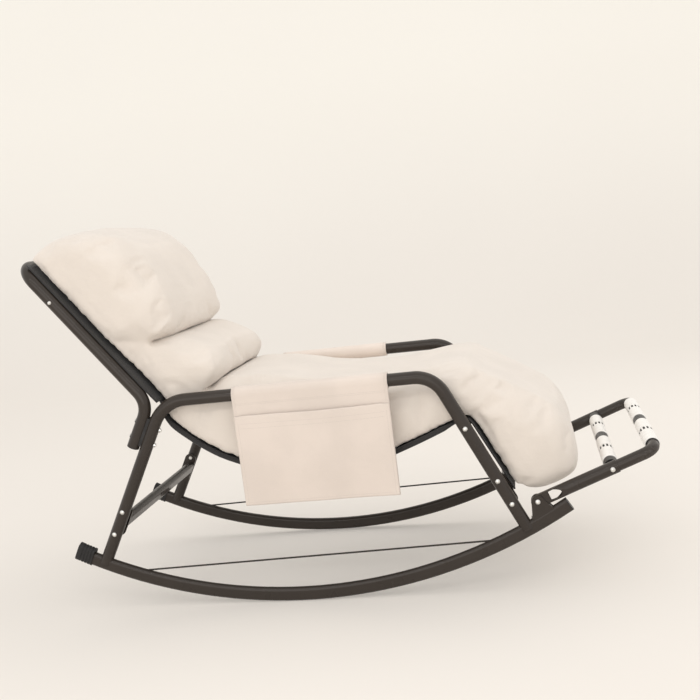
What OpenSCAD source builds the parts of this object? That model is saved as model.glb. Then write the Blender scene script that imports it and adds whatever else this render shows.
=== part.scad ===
// Rocking lounge chair: bent tube side frames on flat-oval runners, a sling with a
// four-lobe mat, a draped armrest cover with a pocket, and a hinged footrest with rollers.
// X points to the feet, Y to the sitter's left, Z up. The origin is on the floor, midway
// between the two points where the runners touch it.

/* [Runners] */
// Distance between the centre planes of the two side frames
track_w = 550; // [500:1:640]
// Radius of the line on which a runner rolls
rocker_r = 1326; // [1200:1:1500]
// Height of the flat-oval tube
oval_h = 36; // [32:0.5:42]
// Width of the flat-oval tube
oval_w = 20; // [16:0.5:26]
// Wall of the flat-oval tube
oval_wall = 1.8; // [1.2:0.1:2.5]
// Length of the runner behind the foot of the rear leg
rear_tail = 79.9; // [70:0.1:100]
// Length of the runner in front of the foot of the front leg
front_tail = 115.7; // [108:0.1:117]
// Diameter of the thin tie rod over each runner
tie_rod_d = 4.5; // [3:0.1:8]
// Distance from the foot of the rear leg forward to the tie rod's rear end
tie_rear_in = 70.8; // [50:0.1:100]
// Distance from the foot of the front leg back to the tie rod's front end
tie_front_in = 55.5; // [40:0.1:90]
// Length of the ribbed boot
boot_len = 46; // [36:1:60]
// How far the boot stands above the runner
boot_rise = 11; // [6:0.5:16]

/* [Side frames] */
// Diameter of the round frame tube
tube_d = 32; // [28:0.5:36]
// Wall of the round frame tube
tube_wall = 1.6; // [1.2:0.1:3]
// Place along X where the lines of rear leg and arm meet
arm_rear_x = -297.4; // [-318:0.1:-280]
// Height where the lines of rear leg and arm meet
arm_rear_z = 544.6; // [519:0.1:570]
// Place along X where the lines of arm and front leg meet
arm_front_x = 396.2; // [380:0.1:416]
// Height where the lines of arm and front leg meet
arm_front_z = 554.2; // [535:0.1:576]
// Lean of the rear leg from upright, in degrees
rear_lean = 27.6; // [26:0.1:30]
// Lean of the front leg from upright, in degrees
front_lean = 26.1; // [24:0.1:28]
// Radius of the bend between rear leg and arm
rear_bend_r = 100; // [80:1:120]
// Radius of the bend between arm and front leg
front_bend_r = 76; // [60:1:95]

/* [Crossbars] */
// Wide side of the flat-oval crossbar
bar_h = 40; // [34:0.5:46]
// Narrow side of the flat-oval crossbar
bar_w = 22; // [18:0.5:26]
// How far the crossbars sit in front of the leg's axis
bar_ahead = 6; // [3:0.5:7]
// Distance of the rear crossbar up the leg from the runner
rear_bar_up = 106; // [95:1:130]
// Distance of the front crossbar up the leg from the runner
front_bar_up = 91; // [84:1:100]
// Distance between the two bolts at one end of a crossbar
bolt_gap = 66; // [60:1:74]
// Length of a crossbar's end plate
plate_len = 90; // [84:1:100]
// Thickness of a crossbar's end plate
plate_t = 4; // [3:0.5:5]
// Distance of the seat front bar up the leg from the runner
seat_bar_up = 274; // [262:1:285]
// Diameter of the seat front bar
seat_bar_d = 25; // [22:0.5:28]
// Diameter of the bolts
bolt_d = 6; // [5:0.5:7]
// Diameter of a bolt's head
bolt_head_d = 12; // [11:0.5:14]
// Height of a bolt's head
bolt_head_h = 3.5; // [2.5:0.5:5]

/* [Back frame] */
// Distance from the runner up to the corner of the back upright, along the leg
back_corner_up = 436; // [425:1:450]
// Slope of the back from level, in degrees
back_angle = 52.1; // [50:0.1:55]
// Length of the back from its corner to the middle of the top tube
back_len = 475; // [440:1:510]
// Radius of the bend at the foot of the back
back_bend_r = 60; // [50:1:66]
// Length of the tail that is bolted behind the rear leg
tail_len = 122; // [112:1:135]
// Gap between tail and leg, which the saddle strip fills
saddle_gap = 2; // [1.5:0.1:4]
// Radius of the two top corners
bow_r = 52; // [45:1:70]
// Length of the bow from its joint to the middle of the top tube
bow_leg = 97; // [85:1:115]
// Length of the bow's spigot inside the upright
spigot_len = 42; // [36:1:60]

/* [Sling and mat] */
// Thickness of the back panel
panel_t = 6; // [4:0.5:8]
// Thickness of the seat sling
sling_t = 4; // [3:0.5:5]
// Height of the rolled hem on the sides of the seat sling
hem_h = 14; // [10:1:18]
// Width of the rolled hem
hem_w = 10; // [6:1:14]
// Clearance between the seat sling and a side frame
sling_gap = 9; // [6:0.5:18]
// Clearance between the mat and a side frame
mat_gap = 20; // [20:0.5:40]
// Thickness of the mat
mat_t = 200; // [170:1:215]
// How far the mat hangs below the seat front bar
mat_drop = 246; // [225:1:252]

/* [Armrest covers] */
// Length of the cover with the pocket
cover_len = 397; // [360:1:410]
// Length of the plain cover on the other arm
plain_cover_len = 320; // [250:1:400]
// Distance from the rear arm corner to the covers
cover_from = 187; // [180:1:200]
// Thickness of the padded cloth round the arm
cover_t = 5; // [3:0.5:8]
// Drop of the cover's flap below the arm's axis
flap_drop = 284; // [240:1:300]
// Thickness of the flap
flap_t = 4; // [3:0.5:6]
// Drop of the pocket's mouth below the arm's axis
mouth_drop = 52; // [40:1:80]
// Depth of the pocket
pocket_deep = 14; // [10:1:24]
// Thickness of the pocket's cloth
pocket_t = 4; // [3:0.5:6]

/* [Footrest] */
// Distance along the runner from the foot of the front leg to the pivot
pivot_ahead = 57.8; // [56:0.1:60]
// Distance of the pivot above the runner
pivot_rise = 29; // [28.8:0.1:32]
// Slope of the footrest at rest, in degrees
foot_angle = 21.5; // [21.3:0.1:24]
// Distance from the pivot to the first axle
first_axle_at = 194; // [185:1:205]
// Distance from the pivot to the second axle
second_axle_at = 302; // [292:1:315]
// Diameter of the pivot bolt
pivot_d = 8; // [7:0.5:9]
// Thickness of the arm's flattened end
tongue_t = 12; // [10:0.5:13]
// Thickness of one ear of the pivot bracket
ear_t = 3; // [2.5:0.5:3.5]
// Diameter of the tube at the footrest's end
end_tube_d = 28; // [24:0.5:28.5]
// Radius of the bend at the footrest's end
end_bend_r = 30; // [26:1:36]
// Diameter of the axles
axle_d = 12; // [10:0.5:14]
// Wall of the axles
axle_wall = 1.5; // [1:0.1:1.5]

/* [Rollers] */
// Diameter of a roller
roller_d = 37; // [34:0.5:40]
// Ribs in the belt round the middle of a roller
belt_ribs = 12; // [8:1:16]
// Length of the ribbed belt along the roller
belt_len = 26; // [16:1:40]
// Depth of the slots between the ribs
slot_deep = 3.5; // [2:0.5:5]
// Width of the slots between the ribs
slot_w = 5.5; // [4:0.5:6.5]
// Depth of the grooves near the roller's ends
groove_deep = 1.2; // [0.6:0.1:2.5]
// Length of the middle spacer
spacer_t = 48; // [30:1:60]
// Diameter of the middle spacer
spacer_d = 33; // [28:1:34]
// Diameter of the end collars
flange_d = 34; // [32:1:38]
// Length of the end collars on the first axle
flange_t = 34; // [20:1:40]
// Thickness of the washers on the second axle
washer_t = 3; // [2:0.5:4]
// Radial clearance of a roller on its axle
axle_play = 0.08; // [0.05:0.01:0.1]
// End clearance of a roller
end_play = 0.6; // [0.4:0.1:0.9]

/* [Hidden] */

$fn = 64;
arc_fn = 480;
over = 1;
bend_step = 0.12;
seat_gap = 0.3;
tiny_gap = 0.15;
bolt_play = 0.2;
nut_h = 4;
thread_end = 2;
screw_d = 5;
plate_w = 34;
bar_plug_len = 30;
wall_screw_len = 9;
plug_head = 2.5;
plug_len = 24;
tail_plug_head = 3;
tail_plug_len = 14;
rib_count = 5;
boot_wall = 3;
boot_base = 2.6;
rib_deep = 1.3;
seam_w = 8;
base_t = 3.5;
tongue_r = 15;
tongue_len = 46;
neck_len = 28;
pivot_play = 0.08;
ear_gap = 0.4;
arm_past_axle = 14;
end_overlap = 36;
end_reach = 8;
bush_len = 6;
axle_in_tube = 9.6;
soft_gap = 0.4;
tube_r = tube_d / 2;
sling_w = track_w - tube_d - 2 * sling_gap;
mat_w = track_w - tube_d - 2 * mat_gap;
half_track = track_w / 2;
near_side = -1;
far_side = 1;

tube_color = "#3a322d";
black_color = "#0d0c0c";
mat_color = "#efe7e0";
cover_color = "#e4dcd2";
roller_color = "#f4f2ee";
screw_color = "#d8d8d6";

// Runner circle, on the plane of a side frame
oval_r = rocker_r - oval_h / 2;
top_r = rocker_r - oval_h;
function arc_point(r, angle) = [r * sin(angle), rocker_r - r * cos(angle)];
function arc_span(length) = length / oval_r * 180 / PI;

// Directions in the XZ plane
function along(lean) = [sin(lean), cos(lean)];
function unit(v) = v / norm(v);
function cross_of(v) = [v[1], -v[0]];
rear_up = [sin(rear_lean), cos(rear_lean)];
front_up = [-sin(front_lean), cos(front_lean)];
rear_corner = [arm_rear_x, arm_rear_z];
front_corner = [arm_front_x, arm_front_z];
arm_dir = unit(front_corner - rear_corner);
arm_angle = atan2(arm_dir[1], arm_dir[0]);
arm_normal = [-arm_dir[1], arm_dir[0]];

// Distance down a line, from a point, to the circle of radius r about the rocker's centre
function to_circle(p, down, r) =
    let (q = p - [0, rocker_r], b = q * down, c = q * q - r * r) -b + sqrt(b * b - c);
rear_foot = rear_corner - rear_up * to_circle(rear_corner, -rear_up, top_r);
front_foot = front_corner - front_up * to_circle(front_corner, -front_up, top_r);
rear_foot_arc = asin(-rear_foot[0] / top_r);
front_foot_arc = asin(front_foot[0] / top_r);
rear_arc = rear_foot_arc + arc_span(rear_tail);
front_arc = front_foot_arc + arc_span(front_tail);
rear_ahead = [rear_up[1], -rear_up[0]];
front_ahead = [front_up[1], -front_up[0]];

rear_bar = rear_foot + rear_up * rear_bar_up + rear_ahead * bar_ahead;
front_bar = front_foot + front_up * front_bar_up + front_ahead * bar_ahead;
seat_bar = front_foot + front_up * seat_bar_up;
seat_bar_r = seat_bar_d / 2;

// Back frame
back_up = [-cos(back_angle), sin(back_angle)];
back_out = [sin(back_angle), cos(back_angle)];
tail_offset = tube_d + saddle_gap;
back_corner = rear_foot + rear_up * back_corner_up - rear_ahead * tail_offset;
tail_end = back_corner - rear_up * tail_len;
joint_at = back_len - bow_leg;
bow_joint = back_corner + back_up * joint_at;
bow_screw_at = joint_at - spigot_len / 2;
bolt_places_share = [0.2, 0.55];

// A tube with bends, drawn in the XY plane from a list of points and a list of bend radii
function fillet_cut(a, b, c, r) = r * tan(turn_of(a, b, c) / 2);
function turn_of(a, b, c) = acos(unit(b - a) * unit(c - b));
function side_of(a, b, c) = sign((b - a)[0] * (c - b)[1] - (b - a)[1] * (c - b)[0]);
module along_x(from, to) {
    v = to - from;
    translate([from[0], from[1], 0]) rotate([0, 0, atan2(v[1], v[0])]) rotate([0, 90, 0]) children();
}
module bend_at(a, b, c, r) {
    turn = turn_of(a, b, c);
    side = side_of(a, b, c);
    start = b - unit(b - a) * fillet_cut(a, b, c, r);
    normal = side * [-unit(b - a)[1], unit(b - a)[0]];
    centre = start + normal * r;
    first = atan2(-normal[1], -normal[0]);
    translate([centre[0], centre[1], 0])
        rotate([0, 0, side > 0 ? first : first - turn])
            rotate_extrude(angle = turn) translate([r, 0]) children();
}
module path_solid(pts, radii, r, extend) {
    last = len(pts) - 1;
    for (i = [0 : last - 1]) {
        cut_a = i == 0 ? -extend : fillet_cut(pts[i - 1], pts[i], pts[i + 1], radii[i - 1]) - over;
        cut_b = i == last - 1 ? -extend : fillet_cut(pts[i], pts[i + 1], pts[i + 2], radii[i]) - over;
        dir = unit(pts[i + 1] - pts[i]);
        from = pts[i] + dir * cut_a;
        to = pts[i + 1] - dir * cut_b;
        along_x(from, to) cylinder(r = r, h = norm(to - from));
    }
    for (i = [1 : 1 : last - 1]) bend_at(pts[i - 1], pts[i], pts[i + 1], radii[i - 1])
        circle(r = r + bend_step);
}
module path_tube(pts, radii, r, wall) {
    difference() {
        path_solid(pts, radii, r, 0);
        path_solid(pts, radii, r - wall, over);
    }
}
// Stands what is drawn in the XY plane up in the XZ plane, at a place along Y
module stand(y) {
    translate([0, y, 0]) rotate([90, 0, 0]) children();
}
// Bar across the chair, on a point of the XZ plane
module across(p, from_y, to_y, r) {
    translate([p[0], from_y, p[1]]) rotate([-90, 0, 0]) cylinder(r = r, h = to_y - from_y);
}
module stadium(w, h) {
    r = w / 2;
    square([w, h - w], center = true);
    for (s = [-1, 1]) translate([0, s * (h / 2 - r)]) circle(r = r);
}

// Runners
module runner_arc(from, to, w, h, r) {
    rotate([0, 0, from - 90])
        rotate_extrude(angle = to - from, $fn = arc_fn) translate([r, 0]) rotate([0, 0, 90]) stadium(w, h);
}
module on_rocker(side) {
    translate([0, side * half_track, rocker_r]) rotate([90, 0, 0]) children();
}
module runner_body(extra) {
    runner_arc(-rear_arc - 1, front_arc + 1, oval_w + 2 * extra, oval_h + 2 * extra, oval_r);
}
module runner(side) {
    color(tube_color) on_rocker(side) difference() {
        runner_arc(-rear_arc, front_arc, oval_w, oval_h, oval_r);
        runner_arc(-rear_arc - 1, front_arc + 1, oval_w - 2 * oval_wall, oval_h - 2 * oval_wall, oval_r);
    }
}

module boot_ring(from, to, cut) {
    tall = oval_h + boot_rise + boot_base;
    runner_arc(from, to, oval_w + 2 * boot_wall - 2 * cut, tall - 2 * cut, rocker_r + boot_base - tall / 2);
}
module rear_boot(side) {
    end = -rear_arc - arc_span(boot_wall);
    start = end + arc_span(boot_len);
    step = (start - end) / (2 * rib_count + 1);
    color(black_color) on_rocker(side) difference() {
        union() {
            boot_ring(end, end + step * 3, 0);
            boot_ring(end + step, start - step / 2, rib_deep);
            for (i = [2 : rib_count]) boot_ring(end + 2 * i * step, end + (2 * i + 1) * step, 0);
        }
        runner_arc(-rear_arc, front_arc, oval_w + 2 * tiny_gap, oval_h + 2 * tiny_gap, oval_r);
    }
}
module runner_plug(side) {
    color(black_color) on_rocker(side) {
        runner_arc(front_arc, front_arc + arc_span(plug_head), oval_w, oval_h, oval_r);
        runner_arc(front_arc - arc_span(plug_len), front_arc + arc_span(plug_head),
            oval_w - 2 * oval_wall - 2 * tiny_gap, oval_h - 2 * oval_wall - 2 * tiny_gap, oval_r);
    }
}
tie_rear_arc = arc_span(tie_rear_in) - rear_foot_arc;
tie_front_arc = front_foot_arc - arc_span(tie_front_in);
module tie_rod(side) {
    color(tube_color) difference() {
        stand(side * half_track)
            path_solid([arc_point(oval_r, tie_rear_arc), arc_point(oval_r, tie_front_arc)], [],
                tie_rod_d / 2, 0);
        on_rocker(side) runner_body(seat_gap);
    }
}

// Side frames
module side_frame(side) {
    rear_start = rear_foot - rear_up * oval_h / 2;
    front_end = front_foot - front_up * oval_h / 2;
    color(tube_color) difference() {
        stand(side * half_track) path_tube([rear_start, rear_corner, front_corner, front_end],
            [rear_bend_r, front_bend_r], tube_r, tube_wall);
        on_rocker(side) runner_body(0);
        for (s = [-1, 1]) {
            across(rear_leg_bolt(s), side * half_track - tube_d, side * half_track + tube_d, bolt_hole_r);
            across(front_leg_bolt(s), side * half_track - tube_d, side * half_track + tube_d, bolt_hole_r);
        }
        across(seat_bar, side * half_track - tube_d, side * half_track + tube_d, bolt_hole_r);
        for (share = bolt_places_share) back_bolt_bore(side, share);
    }
}
bolt_hole_r = bolt_d / 2 + bolt_play;
function rear_leg_bolt(s) = rear_foot + rear_up * (rear_bar_up + s * bolt_gap / 2);
function front_leg_bolt(s) = front_foot + front_up * (front_bar_up + s * bolt_gap / 2);

// Crossbars: a flat-oval tube with a plate at each end
module crossbar(p, foot, up, up_len, lean) {
    inner = half_track - tube_r - seat_gap;
    mid = foot + up * up_len;
    color(tube_color) difference() {
        union() {
            oval_bar(p, lean, 2 * inner - plate_t, bar_w, bar_h);
            for (s = [-1, 1]) translate([0, s * (inner - plate_t / 2), 0])
                oval_bar(mid, lean, plate_t, plate_w, plate_len);
        }
        oval_bar(p, lean, 2 * inner + over, bar_w - 2 * oval_wall, bar_h - 2 * oval_wall);
        for (k = [-1, 1]) across(mid + up * k * bolt_gap / 2, -half_track, half_track, bolt_hole_r);
    }
}
module oval_bar(p, lean, length, w, h) {
    translate([p[0], 0, p[1]]) rotate([0, lean, 0]) rotate([90, 0, 0])
        linear_extrude(height = length, center = true) stadium(w, h);
}
module crossbar_bolt(p, side) {
    outer = half_track + tube_r + tiny_gap;
    inner = half_track - tube_r - seat_gap - plate_t;
    tip = inner - nut_h - thread_end;
    color(screw_color) translate([p[0], 0, p[1]]) rotate([90, 0, side < 0 ? 0 : 180]) {
        translate([0, 0, tip]) cylinder(r = bolt_d / 2, h = outer - tip);
        translate([0, 0, outer]) dome_head(bolt_head_d / 2, bolt_head_h);
        translate([0, 0, inner - nut_h - tiny_gap]) cylinder(r = bolt_d * 0.9, h = nut_h, $fn = 6);
    }
}
module dome_head(r, h) {
    ball_r = (r * r + h * h) / (2 * h);
    intersection() {
        cylinder(r = r, h = h);
        translate([0, 0, h - ball_r]) sphere(r = ball_r);
    }
}
module seat_front_bar() {
    reach = half_track;
    plug = bar_plug_len;
    color(tube_color) difference() {
        across(seat_bar, -reach, reach, seat_bar_r);
        across(seat_bar, plug - reach + tube_r, reach - tube_r - plug, seat_bar_r - tube_wall);
        across(seat_bar, -reach - over, reach + over, bolt_hole_r);
        for (s = [near_side, far_side]) stand(s * half_track)
            path_solid([front_foot, front_corner], [], tube_r + tiny_gap, 0);
    }
}
module seat_bar_screw(side) {
    outer = half_track + tube_r + tiny_gap;
    tip = half_track - tube_d;
    color(screw_color) translate([seat_bar[0], 0, seat_bar[1]]) rotate([90, 0, side < 0 ? 0 : 180]) {
        translate([0, 0, tip]) cylinder(r = bolt_d / 2, h = outer - tip);
        translate([0, 0, outer]) dome_head(bolt_head_d / 2, bolt_head_h);
    }
}

// Back frame
module back_bolt_bore(side, share) {
    p = tail_end + rear_up * tail_len * share;
    stand(side * half_track)
        path_solid([p - rear_ahead * tube_d, p + rear_ahead * (tail_offset + tube_d)], [], bolt_hole_r, 0);
}
module back_upright(side) {
    color(tube_color) difference() {
        stand(side * half_track)
            path_tube([tail_end, back_corner, bow_joint], [back_bend_r], tube_r, tube_wall);
        for (share = bolt_places_share) back_bolt_bore(side, share);
        bow_screw_bore(side);
    }
}
module bow_screw_bore(side) {
    p = back_corner + back_up * bow_screw_at;
    across(p, side > 0 ? half_track : -half_track - tube_d, side > 0 ? half_track + tube_d : -half_track,
        screw_d / 2 + tiny_gap);
}
module back_bow() {
    spigot_r = tube_r - tube_wall - tiny_gap;
    color(tube_color) difference() {
        translate([bow_joint[0], 0, bow_joint[1]]) rotate([0, 180 + back_angle, 0]) union() {
            path_tube([[0, -half_track], [bow_leg, -half_track], [bow_leg, half_track], [0, half_track]],
                [bow_r, bow_r], tube_r, tube_wall);
            for (s = [-1, 1]) {
                path_tube([[-spigot_len, s * half_track], [bow_leg - bow_r, s * half_track]], [], spigot_r,
                    tube_wall);
                path_tube([[0, s * half_track], [(bow_leg - bow_r) * 0.8, s * half_track]], [],
                    tube_r - tube_wall / 2, tube_wall * 1.5);
            }
        }
        for (s = [near_side, far_side]) bow_screw_bore(s);
    }
}
module bow_screw(side) {
    p = back_corner + back_up * bow_screw_at;
    outer = half_track + tube_r + tiny_gap;
    deep = wall_screw_len;
    color(screw_color) translate([p[0], 0, p[1]]) rotate([90, 0, side < 0 ? 0 : 180]) {
        translate([0, 0, outer - deep]) cylinder(r = screw_d / 2, h = deep);
        translate([0, 0, outer]) dome_head(screw_d, bolt_head_h);
    }
}
module upright_plug(side) {
    head = tail_plug_head;
    inside = tail_plug_len;
    color(black_color) stand(side * half_track) {
        path_solid([tail_end - rear_up * head, tail_end], [], tube_r, 0);
        path_solid([tail_end - rear_up * head / 2, tail_end + rear_up * inside], [],
            tube_r - tube_wall - tiny_gap, 0);
    }
}
strip_from_share = 0.08;
strip_to_share = 0.72;
module saddle_strip(side) {
    width = tube_d * 0.6;
    a = tail_end + rear_up * tail_len * strip_from_share;
    strip_len = tail_len * (strip_to_share - strip_from_share);
    color(black_color) difference() {
        stand(side * half_track) translate([a[0], a[1], 0]) rotate([0, 0, 90 - rear_lean])
            translate([0, -tail_offset / 2 - width / 4, -width / 2]) cube([strip_len, width / 2, width]);
        stand(side * half_track) {
            path_solid([tail_end - rear_up * tube_d, back_corner], [], tube_r + tiny_gap, 0);
            path_solid([rear_foot, rear_corner], [], tube_r + tiny_gap, 0);
        }
        for (share = bolt_places_share) back_bolt_bore(side, share);
    }
}
module back_bolt(side, share) {
    p = tail_end + rear_up * tail_len * share;
    rear_face = tube_r + tiny_gap;
    reach = tail_offset + 2 * rear_face;
    color(screw_color) stand(side * half_track) translate([p[0], p[1], 0]) rotate([0, 0, -rear_lean])
        rotate([0, 90, 0]) translate([0, 0, -rear_face]) {
            cylinder(r = bolt_d / 2, h = reach + nut_h + thread_end);
            rotate([180, 0, 0]) dome_head(bolt_head_d / 2, bolt_head_h);
            translate([0, 0, reach]) cylinder(r = bolt_d * 0.9, h = nut_h, $fn = 6);
        }
}

// Sling. Its seat part follows shares of the span from the back corner to the seat front
// bar, and of the mat's thickness below the straight line between them.
seat_span = seat_bar - back_corner;
seat_out = [-unit(seat_span)[1], unit(seat_span)[0]];
function seat_point(v) = back_corner + seat_span * v[0] + seat_out * mat_t * v[1];
panel_out = tube_r + seat_gap;
panel_low = -back_len * 0.032;
panel_high = back_len - tube_r * 0.4;
panel_mid = back_corner + back_up * panel_low + back_out * (panel_out + panel_t / 2);
sling_shares = [[0.042, -0.19], [0.076, -0.32], [0.124, -0.44], [0.186, -0.57], [0.257, -0.674],
    [0.368, -0.759], [0.498, -0.774], [0.617, -0.699], [0.716, -0.565], [0.789, -0.41], [0.872, -0.22],
    [0.945, -0.04]];
bar_wrap = seat_bar_r + seat_gap + sling_t / 2;
crossbar_wrap = bar_w / 2 + bar_ahead + seat_gap + sling_t / 2;
wrap_angles = [85.4, 74.4, 63.4, 52.4, 41.4, 30.4, 19.4, 8.4];
function bar_dir(angle) = front_ahead * cos(angle) + front_up * sin(angle);
function on_bar(angle) = seat_bar + bar_wrap * bar_dir(angle);
drop_end = front_foot + front_up * (front_bar_up - bar_h * 0.35) + front_ahead * crossbar_wrap;
drop_mid = front_foot + front_up * (front_bar_up + bar_h * 0.7) + front_ahead * crossbar_wrap;
drop_top = seat_bar + front_ahead * (bar_wrap + sling_t / 4);
sling_path = concat([panel_mid + back_up * 2 * sling_t,
        panel_mid - (back_up * 4.27 + back_out * 2.78) * sling_t],
    [for (v = sling_shares) seat_point(v)], [on_bar(wrap_angles[0])]);
function normal_at(p, i) =
    let (a = p[max(i - 1, 0)], b = p[min(i + 1, len(p) - 1)], t = unit(b - a)) [-t[1], t[0]];
function offset_path(p, d) = [for (i = [0 : len(p) - 1]) p[i] + normal_at(p, i) * d];
function reversed(p) = [for (i = [len(p) - 1 : -1 : 0]) p[i]];
module strip(p, t, w) {
    rotate([90, 0, 0]) linear_extrude(height = w, center = true)
        polygon(concat(offset_path(p, t / 2), reversed(offset_path(p, -t / 2))));
}
smooth_sling = concat(spline_open(sling_path, 3),
    [for (i = [1 : len(wrap_angles) - 1]) on_bar(wrap_angles[i])], [drop_top, drop_mid, drop_end]);
hem_first = 6;
hem_last = 40;
module sling() {
    hem_path = [for (i = [hem_first : hem_last]) smooth_sling[i]];
    color(black_color) {
        panel();
        strip(smooth_sling, sling_t, sling_w);
        for (s = [-1, 1]) translate([0, s * (sling_w - hem_w) / 2, 0])
            strip(hem_path, hem_h, hem_w);
    }
}
module panel() {
    centre = back_corner + back_up * (panel_low + panel_high) / 2 + back_out * (panel_out + panel_t / 2);
    wide = track_w + tube_r / 2;
    translate([centre[0], 0, centre[1]]) rotate([0, back_angle - 90, 0])
        cube([panel_t, wide, panel_high - panel_low], center = true);
}

// Open and closed smooth curves through a few points
function cr(a, b, c, d, t) =
    0.5 * (2 * b + (c - a) * t + (2 * a - 5 * b + 4 * c - d) * t * t + (3 * b - a - 3 * c + d) * t * t * t);
function spline_open(p, n) = concat([for (i = [0 : len(p) - 2]) for (k = [0 : n - 1])
    cr(p[max(i - 1, 0)], p[i], p[i + 1], p[min(i + 2, len(p) - 1)], k / n)], [p[len(p) - 1]]);

// Lobes of the mat. A lobe is a closed outline in the XZ plane, carried across the chair. Its
// free points are drawn in towards both sides, and less so close to the points that rest on
// something.
side_shares = [-1, -0.985, -0.93, -0.82, -0.62, -0.3, 0, 0.3, 0.62, 0.82, 0.93, 0.985, 1];
draw_shares = [0.30, 0.17, 0.07, 0.025, 0.008, 0, 0, 0, 0.008, 0.025, 0.07, 0.17, 0.30];
draw_ramp_share = 0.3;
function mean(p) = [for (k = [0, 1]) sum([for (q = p) q[k]]) / len(p)];
function sum(v, i = 0) = i < len(v) ? v[i] + sum(v, i + 1) : 0;
function area(p) = sum([for (i = [0 : len(p) - 1])
    let (a = p[i], b = p[(i + 1) % len(p)]) a[0] * b[1] - a[1] * b[0]]);
function freedom(q, rest) = min(1, min([for (r = rest) norm(q - r)]) / (mat_t * draw_ramp_share));
function inward(q, c, dir, half_long, half_thick) =
    let (aside = [-dir[1], dir[0]], a = (q - c) * dir, b = (q - c) * aside)
        -dir * a * half_thick / half_long - aside * b;
module lobe(rest, free, dir, half_long, half_thick) {
    outline = concat(rest, free);
    p = area(outline) > 0 ? outline : reversed(outline);
    n = len(p);
    m = len(side_shares);
    c = mean(p);
    pull = [for (q = p) freedom(q, rest) * inward(q, c, dir, half_long, half_thick)];
    rings = [for (j = [0 : m - 1]) for (i = [0 : n - 1]) let (v = p[i] + pull[i] * draw_shares[j])
        [v[0], side_shares[j] * mat_w / 2, v[1]]];
    low = [c[0], -mat_w / 2, c[1]];
    high = [c[0], mat_w / 2, c[1]];
    walls = [for (j = [0 : m - 2]) for (i = [0 : n - 1]) let (a = j * n + i, b = j * n + (i + 1) % n)
        each [[a, b, b + n], [a, b + n, a + n]]];
    low_cap = [for (i = [0 : n - 1]) [m * n, (i + 1) % n, i]];
    high_cap = [for (i = [0 : n - 1]) [m * n + 1, (m - 1) * n + i, (m - 1) * n + (i + 1) % n]];
    polyhedron(points = concat(rings, [low, high]), faces = concat(walls, low_cap, high_cap));
}
lobe_steps = 3;
mat_out = panel_out + panel_t + soft_gap;
// Points of the back lobes are shares of the back's length and the mat's thickness
function back_point(v) = back_corner + back_up * back_len * v[0] + back_out * (mat_out + mat_t * v[1]);
function moved(p, d) = [for (q = p) q + d];
function skip_ends(p, a, b) = [for (i = [a : len(p) - 1 - b]) p[i]];
head_crease_share = [[0.253, 0], [0.252, 0.16], [0.245, 0.33]];
head_back_share = [1.0, 0.8, 0.6, 0.42];
head_outer_share = [[0.245, 0.33], [0.215, 0.48], [0.184, 0.63], [0.196, 0.715], [0.25, 0.79], [0.31, 0.865],
    [0.38, 0.915], [0.45, 0.955], [0.63, 1.02], [0.77, 0.96], [0.87, 0.85], [0.96, 0.65], [1.01, 0.42],
    [1.028, 0.2], [1.02, 0.06], [1.0, 0]];
lumbar_outer_share = [[0.245, 0.33], [0.20, 0.46], [0.11, 0.63], [0.0, 0.77], [-0.07, 0.845], [-0.12, 0.865],
    [-0.148, 0.80], [-0.152, 0.70], [-0.15, 0.52]];
lumbar_back_share = [-0.05, 0, 0.12];
head_line = [for (v = head_crease_share) back_point(v)];
head_rest = concat([for (v = head_back_share) back_point([v, 0])], moved(head_line, back_up * soft_gap));
head_free = skip_ends(spline_open([for (v = head_outer_share) back_point(v)], lobe_steps), 1, 1);

// The crease between lumbar and seat lobes rises from the sling to the lumbar nose
seat_crease_share = [[0.058, -0.15], [0.106, 0.01], [0.163, 0.185]];
seat_top_share = [[0.163, 0.185], [0.197, 0.255], [0.242, 0.31], [0.35, 0.36], [0.446, 0.352],
    [0.549, 0.345], [0.646, 0.375], [0.734, 0.422], [0.845, 0.53], [0.9, 0.53], [0.921, 0.475],
    [0.931, 0.4]];
leg_crease_share = [[0.931, 0.4], [0.959, 0.25], [0.987, 0.13]];
under = sling_t / 2 + soft_gap;
seat_first = 7;
seat_last = 41;
seat_under = offset_path(smooth_sling, under);
seat_crease = [for (v = seat_crease_share) seat_point(v)];
leg_crease = [for (v = leg_crease_share) seat_point(v)];
seat_rest = concat(moved(leg_crease, [-soft_gap, 0]),
    [for (i = [seat_last : -2 : seat_first]) seat_under[i]], moved(seat_crease, [soft_gap, 0]));
seat_free = skip_ends(spline_open([for (v = seat_top_share) seat_point(v)], lobe_steps), 1, 1);
lumbar_rest = concat(moved(reversed(seat_crease), [-soft_gap, 0]), [seat_under[5], seat_under[4]],
    [for (v = lumbar_back_share) back_point([v, 0])], moved(head_line, -back_up * soft_gap));
lumbar_free = skip_ends(spline_open([for (v = lumbar_outer_share) back_point(v)], lobe_steps), 1, 0);

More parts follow.
